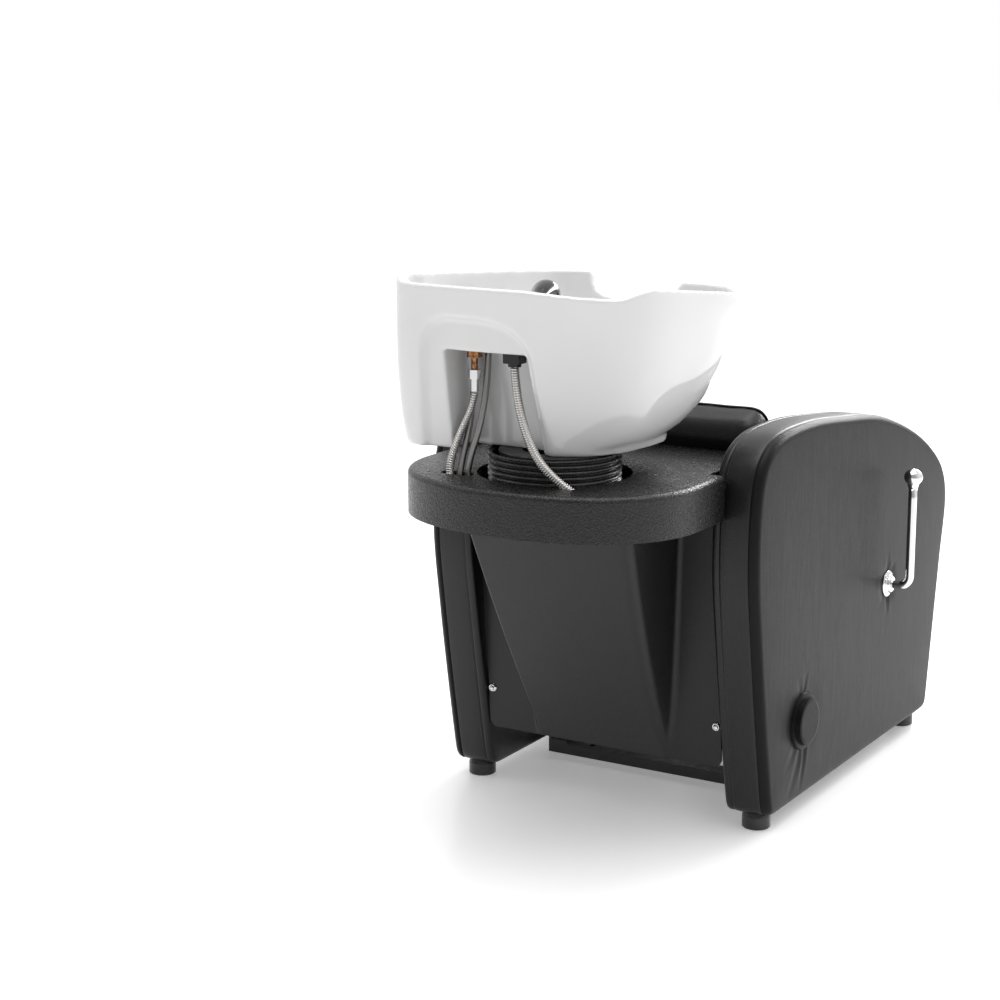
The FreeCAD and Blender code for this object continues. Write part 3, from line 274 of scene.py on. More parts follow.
def adopt(obj, look, body, slot, nodes=()):
    """Make a working object a piece."""
    tidy_mesh(obj.data)
    obj.data.materials.clear()
    obj.data.materials.append(look)
    if body:
        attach(obj, body)
    if nodes:
        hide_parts(*nodes)
    return obj


def tidy_mesh(mesh):
    """Outward normals and smooth faces."""
    work = bmesh.new()
    work.from_mesh(mesh)
    bmesh.ops.recalc_face_normals(work, faces=work.faces)
    work.to_mesh(mesh)
    work.free()
    for face in mesh.polygons:
        face.use_smooth = True
    mesh.update()


def settle(obj):
    """Apply the object's modifiers to its mesh."""
    graph = bpy.context.evaluated_depsgraph_get()
    mesh = bpy.data.meshes.new_from_object(obj.evaluated_get(graph))
    obj.modifiers.clear()
    obj.data = mesh
    return obj


def modify(obj, kind, **settings):
    """Add a modifier with its settings."""
    step = obj.modifiers.new(kind.lower(), kind)
    for key, value in settings.items():
        setattr(step, key, value)
    return step


def angles(count):
    """Even steps once round a circle."""
    return [2 * math.pi * k / count for k in range(count)]


def strip(rings, caps=True):
    """Quads between closed rings of equal count; `caps` closes the first and last ring."""
    count = len(rings[0])
    verts = [v for ring in rings for v in ring]
    faces = []
    for row in range(len(rings) - 1):
        for col in range(count):
            a, b = row * count + col, row * count + (col + 1) % count
            faces.append((a, b, b + count, a + count))
    if caps:
        faces.append(tuple(range(count)))
        faces.append(tuple(range(len(verts) - count, len(verts))))
    return verts, faces


def lathe(profile, centre, count=96):
    """A closed profile of (radius, height) turned about a vertical axis through centre."""
    x, y = centre
    rings = [[Vector((x + r * math.cos(a), y + r * math.sin(a), level)) for r, level in profile]
             for a in angles(count)]
    return strip(rings + [rings[0]], False)


def catmull(points, share, closed=False):
    """The point at share (0 to 1) along a Catmull-Rom curve through the points."""
    spans = len(points) if closed else len(points) - 1
    where = min(share * spans, spans - 1e-9)
    index, t = int(where), where - int(where)

    def at(k):
        return points[k % len(points)] if closed else points[max(0, min(len(points) - 1, k))]
    a, b, c, d = (Vector(at(index + k)) for k in (-1, 0, 1, 2))
    return 0.5 * ((2 * b) + (c - a) * t + (2 * a - 5 * b + 4 * c - d) * t * t
                  + (3 * b - a - 3 * c + d) * t * t * t)


def resample(points, count, closed=False):
    """Points spread evenly along a polyline."""
    points = [Vector(p) for p in points]
    if closed:
        points = points + [points[0]]
    lengths = [0.0]
    for a, b in zip(points, points[1:]):
        lengths.append(lengths[-1] + (b - a).length)
    out, index = [], 0
    for step in range(count):
        goal = lengths[-1] * step / (count if closed else count - 1)
        while index < len(points) - 2 and lengths[index + 1] < goal:
            index += 1
        span = lengths[index + 1] - lengths[index]
        out.append(points[index].lerp(points[index + 1], (goal - lengths[index]) / span if span else 0))
    return out


def smooth_step(value, low, high):
    t = max(0.0, min(1.0, (value - low) / (high - low)))
    return t * t * (3 - 2 * t)


# ---------------- upholstered side panels
PANEL_CURVE = [(-222, 30), (-252, 180), (-281, 345), (-300, 490), (-287, 632), (-222, 690), (-80, 700),
               (80, 686), (240, 664), (400, 616), (515, 562), (583, 508), (604, 440), (583, 330), (556, 175),
               (531, 30)]
PANEL_POINTS = 520
PANEL_MIDDLE = Vector((0.11, 0.36))
CORNER_ROUNDS = 14
LEATHER_OVER = 0.0012
# X of the lining, the two seams, the pad's flat face and its crowned middle.
INNER_X, INNER_SEAM_X, OUTER_SEAM_X, OUTER_X, CROWN_X = 0.235, 0.250, 0.303, 0.322, 0.3232
# Where the faces start inside the rounded edges: X and inset from the outline.
LINING_EDGE, PAD_EDGE = (0.2352, 0.009), (0.3198, 0.0092)
LEVER_Y, LEVER_Z = 0.290, 0.338
LEVER_PLACE, CAP_PLACE = Vector((LEVER_Y, LEVER_Z)), Vector((-0.094, 0.173))
# The leather dips around the lever and the cap: depth and radius.
LEVER_DIP, CAP_DIP = (0.0032, 0.034), (0.0016, 0.066)


def panel_outline():
    """The side outline as evenly spaced (y, z) points, with its two lower corners rounded."""
    curve = [catmull([(y * MM, z * MM) for y, z in PANEL_CURVE], step / 240) for step in range(241)]
    sill = [curve[-1].lerp(curve[0], step / 40) for step in range(1, 40)]
    points = resample(curve + sill, PANEL_POINTS, True)
    for _ in range(CORNER_ROUNDS):
        points = [(points[i - 1] + 2 * p + points[(i + 1) % len(points)]) / 4 for i, p in enumerate(points)]
    return points


OUTLINE = panel_outline()
INWARD = []
for spot in range(PANEL_POINTS):
    along = OUTLINE[(spot + 1) % PANEL_POINTS] - OUTLINE[spot - 1]
    INWARD.append(Vector((along.y, -along.x)).normalized())


def outline_at(inset):
    """The outline moved inwards, counted from leather that lies just over the core."""
    return [p + n * (inset - LEATHER_OVER) for p, n in zip(OUTLINE, INWARD)]


# Creases in the outer leather: start, end (y, z), half-width, depth; they fade towards the end.
LEVER_CREASES = [
    ((0.290, 0.362), (0.283, 0.400), 0.006, 0.0022), ((0.290, 0.314), (0.286, 0.276), 0.006, 0.0020),
    ((0.272, 0.322), (0.246, 0.300), 0.005, 0.0010), ((0.306, 0.358), (0.328, 0.378), 0.005, 0.0008)]
CAP_CREASES = [
    ((-0.094, 0.226), (-0.088, 0.262), 0.005, 0.0016), ((-0.108, 0.222), (-0.122, 0.256), 0.005, 0.0012),
    ((-0.084, 0.120), (-0.100, 0.045), 0.007, 0.0022), ((-0.104, 0.118), (-0.150, 0.040), 0.009, 0.0014),
    ((-0.130, 0.130), (-0.170, 0.095), 0.008, 0.0008)]


def crease_depth(spot, creases):
    """How far a crease pulls the leather in at a place on the side, with raised lips beside it."""
    depth = 0.0
    for start, end, half, deep in creases:
        start, end = Vector(start), Vector(end)
        way = end - start
        share = max(0.0, min(1.0, (spot - start).dot(way) / way.length_squared))
        off = (spot - start - way * share).length / half
        if off < 4:
            fade = (1 - share) ** 0.7
            depth += deep * fade * (math.exp(-off * off) - 0.45 * math.exp(-((off - 1.7) / 0.8) ** 2))
    return depth


def face_rings(edge, middle_x, steps, sink):
    """Rings from an edge (X, inset) to the panel's middle on one face; sink(y, z) is taken off in X."""
    edge_x, inset = edge
    rings = []
    for step in range(1, steps):
        share = 1 - step / steps
        ring = []
        for p in outline_at(inset):
            spot = PANEL_MIDDLE + (p - PANEL_MIDDLE) * share
            x = edge_x + (middle_x - edge_x) * (1 - share ** 6)
            ring.append(Vector((x - sink(spot), spot.x, spot.y)))
        rings.append(ring)
    return rings


def panel(side):
    """One whole upholstered panel: inner lining, border band between two seams, crowned outer pad."""
    creases = CAP_CREASES + (LEVER_CREASES if side > 0 else [])
    word = "right" if side > 0 else "left"

    def sink(spot):
        dip = CAP_DIP[0] * math.exp(-((spot - CAP_PLACE).length / CAP_DIP[1]) ** 6)
        if side > 0:
            dip += LEVER_DIP[0] * math.exp(-((spot - LEVER_PLACE).length / LEVER_DIP[1]) ** 4)
        return dip + crease_depth(spot, creases)

    def flat(spot):
        return 0.0

    def rings_of(profile):
        return [[Vector((x, p.x, p.y)) for p in outline_at(inset)] for x, inset in profile]

    lining = [LINING_EDGE, (0.2362, 0.0045), (0.2385, 0.0015), (0.242, 0.0), (0.2465, 0.0),
              (0.2488, 0.0002), (INNER_SEAM_X, 0.0011)]
    band = [(INNER_SEAM_X, 0.0011), (0.2512, 0.0002), (0.2545, -0.0003), (0.264, -0.0010), (0.2765, -0.0013),
            (0.289, -0.0010), (0.2985, -0.0006), (0.3018, 0.0), (OUTER_SEAM_X, 0.0012)]
    pad = [(OUTER_SEAM_X, 0.0012), (0.3042, 0.0), (0.3068, -0.0008), (0.3105, 0.0003), (0.3145, 0.0024),
           (0.3178, 0.0056), PAD_EDGE]
    lining_rings = face_rings(LINING_EDGE, INNER_X, 14, flat)[::-1] + rings_of(lining)
    pad_rings = rings_of(pad) + face_rings(PAD_EDGE, CROWN_X, 64, sink)
    count = PANEL_POINTS
    for name, rings, middle_x, look, slot, node in (
            ("panel_lining_", lining_rings, INNER_X, WRAP, "leatherette_wrap", ()),
            ("panel_border_", rings_of(band), None, WRAP, "leatherette_wrap", ("panel_wrap_" + word,)),
            ("panel_pad_", pad_rings, CROWN_X - sink(PANEL_MIDDLE), PAD, "leatherette",
             ("outer_pad_" + word,))):
        verts, faces = strip(rings, False)
        if middle_x is not None:
            first = len(verts) - count if rings is pad_rings else 0
            verts.append(Vector((middle_x, *PANEL_MIDDLE)))
            faces += [(first + i, first + (i + 1) % count, len(verts) - 1) for i in range(count)]
        verts = [Vector((v.x * side, v.y, v.z)) for v in verts]
        piece(name + word, verts, faces, look, "base", slot, node)
    stitches(word, side)


STITCH_LENGTH, STITCH_WIDTH = 0.0042, 0.0011
STITCH_FACES = [(0, 1, 2), (0, 2, 3), (4, 2, 1), (4, 3, 2), (0, 5, 1), (0, 3, 5), (4, 1, 5), (4, 5, 3)]


def stitch_verts(middle, along, out):
    """A short raised thread: six corners of a flat diamond along the seam."""
    across = along.cross(out)
    half, thick = 0.5 * STITCH_LENGTH, 0.35 * STITCH_WIDTH
    return [middle - along * half, middle + across * STITCH_WIDTH / 2, middle + out * thick,
            middle - across * STITCH_WIDTH / 2, middle + along * half, middle - out * thick]


def stitch_rows(name, rows, body):
    """Stitches along closed rows; each row is a list of (place, outward direction)."""
    verts, faces = [], []
    for row in rows:
        for index, (here, out) in enumerate(row):
            ahead, behind = row[(index + 1) % len(row)][0], row[index - 1][0]
            base = len(verts)
            verts += stitch_verts(here, (ahead - behind).normalized(), out)
            faces += [tuple(base + k for k in face) for face in STITCH_FACES]
    piece(name, verts, faces, THREAD, body, "leatherette_wrap")


def stitches(word, side):
    """Two rows of thread along each of the panel's two seams."""
    count = 500
    outs = resample([(0, -n.x, -n.y) for n in INWARD], count, True)
    rows = []
    for x, inset, tilt in ((0.2462, -0.0001, 0.0), (0.2545, -0.0004, 0.0), (0.2985, -0.0003, 0.0),
                           (0.3072, -0.0002, 0.25)):
        spots = resample([(x * side, p.x, p.y) for p in outline_at(inset)], count, True)
        lean = Vector((tilt * side, 0, 0))
        rows.append([(spot, (out + lean).normalized()) for spot, out in zip(spots, outs)])
    stitch_rows("panel_stitching_" + word, rows, "base")


panel(1)
panel(-1)


# ---------------- cushions
PAD_VOXEL = 0.006
PUFF_ROOM, PUFF_CAP = 0.004, 0.008
PUFF_FRAMES, PUFF_PRESSURE, PUFF_STIFFNESS = 20, 4, 20
CROWN = 0.006
SEAM_STEP, SEAM_HALF, SEAM_DEPTH = 0.0055, 0.0045, 0.0022
PIPING_RADIUS, PIPING_SIDES = 0.0022, 8
STITCH_FROM_PIPING = 0.0062


def pad_mesh(name, low, high, radius):
    """A block with rounded corners and edges, remeshed evenly."""
    work = bmesh.new()
    bmesh.ops.create_cube(work, size=1)
    size = Vector(high) - Vector(low)
    middle = (Vector(high) + Vector(low)) / 2
    for vert in work.verts:
        vert.co = Vector([middle[k] + vert.co[k] * size[k] for k in range(3)])
    bmesh.ops.bevel(work, geom=work.edges[:], offset=radius, segments=5, profile=0.5, affect="EDGES")
    mesh = bpy.data.meshes.new(name)
    work.to_mesh(mesh)
    work.free()
    obj = placed(name, mesh)
    modify(obj, "REMESH", mode="VOXEL", voxel_size=PAD_VOXEL)
    return settle(obj)


def puff(obj):
    """Swell the pad like stuffed upholstery, with no point moving further than PUFF_CAP."""
    start = [v.co.copy() for v in obj.data.vertices]
    cloth = modify(obj, "CLOTH").settings
    cloth.use_pressure = True
    cloth.uniform_pressure_force = PUFF_PRESSURE
    cloth.effector_weights.gravity = 0
    cloth.tension_stiffness = cloth.compression_stiffness = PUFF_STIFFNESS
    for step in range(1, PUFF_FRAMES + 1):
        scene.frame_set(step)
    settle(obj)
    scene.frame_set(1)
    for vert, home in zip(obj.data.vertices, start):
        move = vert.co - home
        if move.length > PUFF_CAP:
            vert.co = home + move * (PUFF_CAP / move.length)


def loop_on(obj, width, height, corner, place):
    """A rounded rectangle of (a, b) mapped by place() and laid onto the pad's surface."""
    tree = BVHTree.FromPolygons([v.co for v in obj.data.vertices], [p.vertices for p in obj.data.polygons])
    points = []
    for cx, cy, turn in ((1, 1, 0), (-1, 1, 90), (-1, -1, 180), (1, -1, 270)):
        for step in range(9):
            angle = math.radians(turn + 90 * step / 8)
            points.append(place(cx * (width / 2 - corner) + corner * math.cos(angle),
                                cy * (height / 2 - corner) + corner * math.sin(angle)))
    points = resample(points, int(2 * (width + height) / SEAM_STEP), True)
    laid = []
    for point in points:
        spot, normal, _, _ = tree.find_nearest(point)
        laid.append((spot, normal))
    for _ in range(3):
        laid = [((laid[i - 1][0] + 2 * spot + laid[(i + 1) % len(laid)][0]) / 4, normal)
                for i, (spot, normal) in enumerate(laid)]
    return laid


def welt(name, laid, body):
    """Piping: a thin round cord of leather sewn along a seam."""
    radius = PIPING_RADIUS
    rings = []
    for index, (spot, normal) in enumerate(laid):
        along = (laid[(index + 1) % len(laid)][0] - laid[index - 1][0]).normalized()
        side = along.cross(normal).normalized()
        out = side.cross(along)
        middle = spot + normal * radius * 0.25
        rings.append([middle + side * radius * math.cos(a) + out * radius * math.sin(a)
                      for a in angles(PIPING_SIDES)])
    verts, faces = strip(rings + [rings[0]], False)
    piece(name, verts, faces, WRAP, body, "leatherette_wrap")


def cushion(word, nodes, body, low, high, radius, across, pose=Matrix(), seams=(-1, 1)):
    """A stuffed pad with a piped seam round its faces named in `seams`; `across` is its thin axis."""
    low, high = Vector(low), Vector(high)
    shrink = Vector([PUFF_ROOM] * 3)
    obj = pad_mesh(word, low + shrink, high - shrink, radius)
    puff(obj)
    middle, size = (low + high) / 2, high - low
    axes = [k for k in range(3) if k != across]
    for vert in obj.data.vertices:
        offset = vert.co - middle
        reach = [1 - (2 * offset[k] / size[k]) ** 2 for k in axes]
        vert.co[across] += math.copysign(CROWN, offset[across]) * max(0, reach[0]) * max(0, reach[1])
    modify(obj, "SMOOTH", factor=0.5, iterations=6)
    settle(obj)
    laid = []
    for side in seams:
        def place(a, b, side=side):
            spot = middle.copy()
            spot[axes[0]] += a
            spot[axes[1]] += b
            spot[across] += side * (size[across] / 2 - radius * 0.55)
            return spot
        laid.append(loop_on(obj, size[axes[0]], size[axes[1]], radius + 0.004, place))
    groove(obj, laid)
    modify(obj, "SUBSURF", levels=1, render_levels=1)
    settle(obj)
    obj.data.transform(pose)
    turn = pose.to_3x3()
    laid = [[(pose @ spot, (turn @ normal).normalized()) for spot, normal in row] for row in laid]
    adopt(obj, SEAT, body, "cushion_cover", nodes)
    for index, row in enumerate(laid):
        welt("%s_piping_%d" % (word, index), row, body)
    sewn = []
    for row, side in zip(laid, seams):
        axis = turn @ Vector([-side if k == across else 0.0 for k in range(3)])
        sewn.append([(spot + axis * STITCH_FROM_PIPING + normal * 0.0004, normal) for spot, normal in row])
    stitch_rows(word + "_stitching", sewn, body)


def groove(obj, rows):
    """Pull the surface in along sewn rows."""
    speck = (Vector(), Vector((1e-5, 0, 0)), Vector((0, 1e-5, 0)))
    spots = [spot for row in rows for spot, _ in row]
    tree = BVHTree.FromPolygons([spot + corner for spot in spots for corner in speck],
                                [(3 * k, 3 * k + 1, 3 * k + 2) for k in range(len(spots))])
    obj.data.update()
    for vert in obj.data.vertices:
        _, _, _, far = tree.find_nearest(vert.co, 4 * SEAM_HALF)
        if far is not None:
            vert.co -= vert.normal * SEAM_DEPTH * math.exp(-(far / SEAM_HALF) ** 2)


seat_low, seat_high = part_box("seat_cushion")
cushion("seat_pad", ("seat_cushion",), "base", seat_low, seat_high, 0.02, 2)

BACK_POSE = Matrix.Translation((0, 0.060, 0.402)) @ Matrix.Rotation(math.radians(23), 4, "X")
cushion("backrest_pad", ("backrest_cushion", "backrest_board"), "base",
        (-0.229, -0.050, 0), (0.229, 0.039, 0.342), 0.028, 1, BACK_POSE, seams=(1,))

LEG_POSE = Matrix.Translation((0, 0.535, 0.345)) @ Matrix.Rotation(math.radians(-8), 4, "X")
cushion("leg_rest_pad", ("leg_rest_cushion",), "leg_rest_body",
        (-0.214, 0.0283, -0.304), (0.214, 0.078, -0.008), 0.018, 1, LEG_POSE)


# ---------------- side lever
def turned(name, profile, origin, axis, body, node, count=72):
    """A bright profile of (radius, distance) spun about an axis through origin."""
    turn = Vector((0, 0, 1)).rotation_difference(Vector(axis))
    rings = [[Vector(origin) + turn @ Vector((r * math.cos(a), r * math.sin(a), d)) for a in angles(count)]
             for r, d in profile]
    mark_sharp(piece(name, *strip(rings), CHROME, body, "chrome", (node,)), 50)


def tube(name, line, radius, body, node, sides=32):
    """A bright rod along a line that bends in a plane of constant Y."""
    rings = []
    for index, spot in enumerate(line):
        along = (line[min(index + 1, len(line) - 1)] - line[max(index - 1, 0)]).normalized()
        side = Vector((0, 1, 0))
        other = along.cross(side).normalized()
        rings.append([spot + (side * math.cos(a) + other * math.sin(a)) * radius for a in angles(sides)])
    piece(name, *strip(rings), CHROME, body, "chrome", (node,))


def side_lever():
    """A bright bent rod with a turned knob, running in a stepped flange on the panel."""
    y, z, out, bend, top = LEVER_Y, LEVER_Z, 0.365, 0.020, 0.528
    line = [Vector((0.205 + 0.014 * k, y, z)) for k in range(10)]
    line += [Vector((out - bend + bend * math.sin(a), y, z + bend - bend * math.cos(a)))
             for a in [math.pi / 2 * k / 12 for k in range(13)]]
    line += [Vector((out, y, z + bend + (top - z - bend) * k / 8)) for k in range(1, 9)]
    tube("side_lever_rod", line, 0.008, "lever_body", "side_lever")
    knob = [(0.001, 0), (0.0092, 0), (0.0098, 0.0012), (0.0100, 0.0035)]
    knob += [(0.0005 + 0.0168 * math.sin(a), 0.0190 - 0.0155 * math.cos(a))
             for a in [math.pi * (0.22 + 0.775 * k / 24) for k in range(25)]]
    turned("lever_ball", knob, (out, y, top), (0, 0, 1), "lever_body", "lever_knob")
    flange = [(0.0083, 0), (0.0250, 0), (0.0250, 0.0008), (0.0244, 0.0018), (0.0225, 0.0026),
              (0.0185, 0.0034), (0.0168, 0.0044), (0.0160, 0.0060), (0.0157, 0.0082), (0.0150, 0.0094),
              (0.0136, 0.0100), (0.0083, 0.0100)]
    turned("lever_rosette", flange, (OUTER_X, y, z), (1, 0, 0), "base", "lever_flange")


# ---------------- ceramic basin
RIM_PLAN = [(-260, -440), (-250, -507), (-140, -532), (-15, -533), (100, -508), (185, -440), (223, -330),
            (234, -212), (194, -120), (80, -98), (-60, -100), (-165, -126), (-218, -220), (-250, -335)]
BASE_PLAN = [(-236, -460), (-227, -502), (-125, -508), (-15, -496), (75, -458), (112, -404), (122, -340),
             (109, -284), (70, -250), (22, -240), (-30, -240), (-80, -248), (-125, -285), (-190, -370)]
LEFT_CORNER, REAR_POINTS = (0, 1), (2, 3, 4)
BASIN_MIDDLE = Vector((-0.005, -0.330))
BASE_LEVEL, BAND_LEVEL, RIM_LEVEL, BOWL_LEVEL = 0.680, 0.692, 0.955, 0.702
DECK_TOP, DECK_UNDER = 0.862, 0.847
WALL, AROUND = 0.020, 240
SCOOP_DEPTH, DECK_INSET, FLOOR_INSET = 0.0105, 0.0135, 0.03
BASIN_VOXEL, GLAZE_ROUNDS = 0.0025, 16
REAR_RIM, REAR_RIM_DROP = 0.9545, 0.0105
# Rim heights (y, z) along the two sides; the rear rim joins them at the left corner and a right step.
LEFT_TOP = [(-0.52, 0.967), (-0.50, 0.966), (-0.33, 0.954), (-0.126, 0.9435), (-0.09, 0.9435)]
RIGHT_TOP = [(-0.46, 0.9585), (-0.43, 0.958), (-0.33, 0.948), (-0.215, 0.935), (-0.16, 0.930), (-0.09, 0.934)]
# Outlines (x, z) cut through the walls: the hose recess in the rear and the neck notch in the front.
RECESS = [(-0.158, DECK_UNDER), (-0.004, DECK_UNDER), (0.016, 0.66), (-0.146, 0.66)]
NECK = [(-0.106, 1.0), (-0.104, 0.9460), (-0.097, 0.9430), (-0.0935, 0.936), (-0.0915, 0.925),
        (-0.084, 0.911), (-0.066, 0.9015), (-0.04, 0.8975), (-0.008, 0.896), (0.028, 0.8985), (0.054, 0.905),
        (0.068, 0.914), (0.0755, 0.925), (0.081, 0.9315), (0.091, 0.935), (0.093, 1.0)]
# Bored holes: name, x, y, radius, lower and upper end.
HOLES = [("waste_hole", 0.008, -0.388, 0.024, 0.6, 0.72),
         ("mixer_hole", -0.119, -0.475, 0.017, 0.83, 0.87),
         ("shower_hole", -0.030, -0.481, 0.011, 0.83, 0.87)]


def basin_point(turn, level, inset=0.0):
    """The basin's outer wall at a share of the way round and a height, moved in by `inset`."""
    rise = (level - BASE_LEVEL) / (RIM_LEVEL - BASE_LEVEL)
    flare = min(1.0, max(0.0, (level - BAND_LEVEL) / (RIM_LEVEL - BAND_LEVEL)))
    corners = []
    for index, (rim, base) in enumerate(zip(RIM_PLAN, BASE_PLAN)):
        share = (1 - (1 - flare) ** 1.8) ** 0.55
        if index in LEFT_CORNER:
            share = (1 - (1 - min(1.0, rise)) ** 3) ** 0.7
        if index in REAR_POINTS:
            share = rise
        rim, base = Vector(rim) * MM, Vector(base) * MM
        corner = base + (rim - base) * share
        corners.append(corner + (BASIN_MIDDLE - corner).normalized() * inset)
    return catmull(corners, turn, True)


def arch_scoop(x, z):
    """The shallow arch pressed into the rear wall around the hose recess: 0 outside, 1 inside."""
    right = 0.008 + 0.018 * (0.86 - z) / 0.18
    left = -0.198
    half, middle = (right - left) / 2, (right + left) / 2
    corner = 0.055
    top = 0.904 - 0.16 * max(0.0, x + 0.08)
    dx = max(abs(x - middle) - half + corner, 0)
    dz = max(z - top + corner, 0)
    outside = math.hypot(dx, dz) - corner
    return smooth_step(-outside, -0.004, 0.009)


def height_along(line, y):
    """The height at y on a line of (y, z) places."""
    for (y0, z0), (y1, z1) in zip(line, line[1:]):
        if y <= y1:
            return z0 + (z1 - z0) * (y - y0) / (y1 - y0)
    return line[-1][1]


def rim_height(spot):
    """The rim's height over a place on the wall: raised sides that fall to the front, a lower rear."""
    left, right = height_along(LEFT_TOP, spot.y), height_along(RIGHT_TOP, spot.y)
    side = left + (right - left) * smooth_step(spot.x, -0.04, 0.04)
    rear = REAR_RIM - REAR_RIM_DROP * smooth_step(spot.x, -0.03, 0.155)
    share = smooth_step(spot.y, -0.514, -0.486) if spot.x < 0 else smooth_step(spot.x, 0.150, 0.192)
    share = max(share, smooth_step(spot.y, -0.43, -0.38))
    return rear + (side - rear) * share


def basin():
    """The basin as one cast shape, its glaze rounding every edge."""
    turns = [k / AROUND for k in range(AROUND)]
    tops = [rim_height(basin_point(t, RIM_LEVEL)) for t in turns]
    outer_levels = [0, 0.012, 0.035, 0.07, 0.085, 0.1, 0.125] + [0.15 + 0.85 * k / 44 for k in range(45)]
    rings = []
    for share in outer_levels:
        ring = []
        for t, top in zip(turns, tops):
            level = BASE_LEVEL + (top - BASE_LEVEL) * share
            spot = basin_point(t, level)
            if spot.y < -0.44:
                spot.y += SCOOP_DEPTH * arch_scoop(spot.x, level)
            ring.append(Vector((spot.x, spot.y, level)))
        rings.append(ring)
    for share in [1 - k / 26 for k in range(27)]:
        ring = []
        for t, top in zip(turns, tops):
            level = BOWL_LEVEL + (top - BOWL_LEVEL) * share
            like = BAND_LEVEL + (level - BOWL_LEVEL) * (RIM_LEVEL - BAND_LEVEL) / (RIM_LEVEL - BOWL_LEVEL)
            spot = basin_point(t, like, WALL if share > 0.9 else WALL + 0.004 * (0.9 - share))
            ring.append(Vector((spot.x, spot.y, level)))
        rings.append(ring)
    shell = loose("basin_shell", *strip(rings))

    deck_rings = [[Vector((p.x, p.y, level)) for p in (basin_point(t, level, DECK_INSET) for t in turns)]
                  for level in (BASE_LEVEL + 0.002, 0.72, 0.77, 0.82, DECK_TOP)]
    deck = loose("deck_body", *strip(deck_rings))
    keep_side = loose("deck_keep", *block((-0.30, -0.60, 0.60), (0.038, -0.424, 0.90)))
    combine(deck, keep_side, "INTERSECT")
    floor_rings = [[Vector((p.x, p.y, level)) for p in (basin_point(t, 0.72, FLOOR_INSET) for t in turns)]
                   for level in (BASE_LEVEL + 0.002, BOWL_LEVEL)]
    combine(shell, deck, "UNION")
    combine(shell, loose("floor_body", *strip(floor_rings)), "UNION")
    combine(shell, prism_y("recess", RECESS, -0.60, -0.438), "DIFFERENCE")
    combine(shell, prism_y("neck", NECK, -0.29, 0.10), "DIFFERENCE")
    for name, x, y, radius, low, high in HOLES:
        combine(shell, rod(name, (x, y, low), (x, y, high), radius), "DIFFERENCE")
    modify(shell, "REMESH", mode="VOXEL", voxel_size=BASIN_VOXEL)
    modify(shell, "SMOOTH", factor=0.5, iterations=GLAZE_ROUNDS)
    settle(shell)
    adopt(shell, CERAMIC, "basin_body", "ceramic", ("basin",))


def block(low, high):
    """Corners and faces of a box between two opposite corners."""
    (x0, y0, z0), (x1, y1, z1) = low, high
    corners = [(x, y, z) for z in (z0, z1) for x, y in ((x0, y0), (x1, y0), (x1, y1), (x0, y1))]
    return corners, [(0, 3, 2, 1), (4, 5, 6, 7), (0, 1, 5, 4), (1, 2, 6, 5), (2, 3, 7, 6), (3, 0, 4, 7)]


def prism_y(name, outline, low, high):
    """An outline of (x, z) places drawn out along Y."""
    rings = [[Vector((x, y, z)) for x, z in outline] for y in (low, high)]
    return loose(name, *strip(rings))


def rod(name, start, end, radius, count=48):
    start, end = Vector(start), Vector(end)
    turn = Vector((0, 0, 1)).rotation_difference(end - start)
    ring = [turn @ Vector((radius * math.cos(a), radius * math.sin(a), 0)) for a in angles(count)]
    return loose(name, *strip([[start + p for p in ring], [end + p for p in ring]]))


def combine(obj, other, how):
    """Boolean with another working object, which is then removed."""
    modify(obj, "BOOLEAN", operation=how, object=other, solver="EXACT")
    settle(obj)
    bpy.data.objects.remove(other)


basin()


# ---------------- rear cover
COVER_LOW, COVER_HIGH, COVER_HALF, COVER_SKIN = 0.112, 0.566, 0.233, 0.004
COVER_STEPS, COVER_CORNER = 40, 0.014


def cover_line(level, inset):
    """The folded cover's section at a height, with each fold rounded, from the left to the right."""
    rise = (level - COVER_LOW) / (COVER_HIGH - COVER_LOW)
    wing_y = -0.237 - 0.085 * (level - COVER_LOW)
    wedge_y = min(wing_y - 0.0005, wing_y * (1 - rise) - 0.454 * rise)
    wedge_x, side_x = 0.124 + 0.034 * rise, 0.136 + 0.027 * rise
    corners = [Vector((-COVER_HALF, wing_y)), Vector((-side_x, wing_y)), Vector((-wedge_x, wedge_y)),
               Vector((wedge_x, wedge_y)), Vector((side_x, wing_y)), Vector((COVER_HALF, wing_y))]
    radii = [0, 0.004, 0.005, 0.020, 0.012, 0]
    line = [corners[0]]
    for before, corner, after, radius in zip(corners, corners[1:], corners[2:], radii[1:]):
        reach = min(radius, 0.48 * (corner - before).length, 0.48 * (after - corner).length)
        a = corner + (before - corner).normalized() * reach
        b = corner + (after - corner).normalized() * reach
        for k in range(9):
            t = k / 8
            line.append(a * (1 - t) ** 2 + corner * 2 * t * (1 - t) + b * t * t)
    line.append(corners[-1])
    return [Vector((p.x, p.y + inset, level)) for p in line]


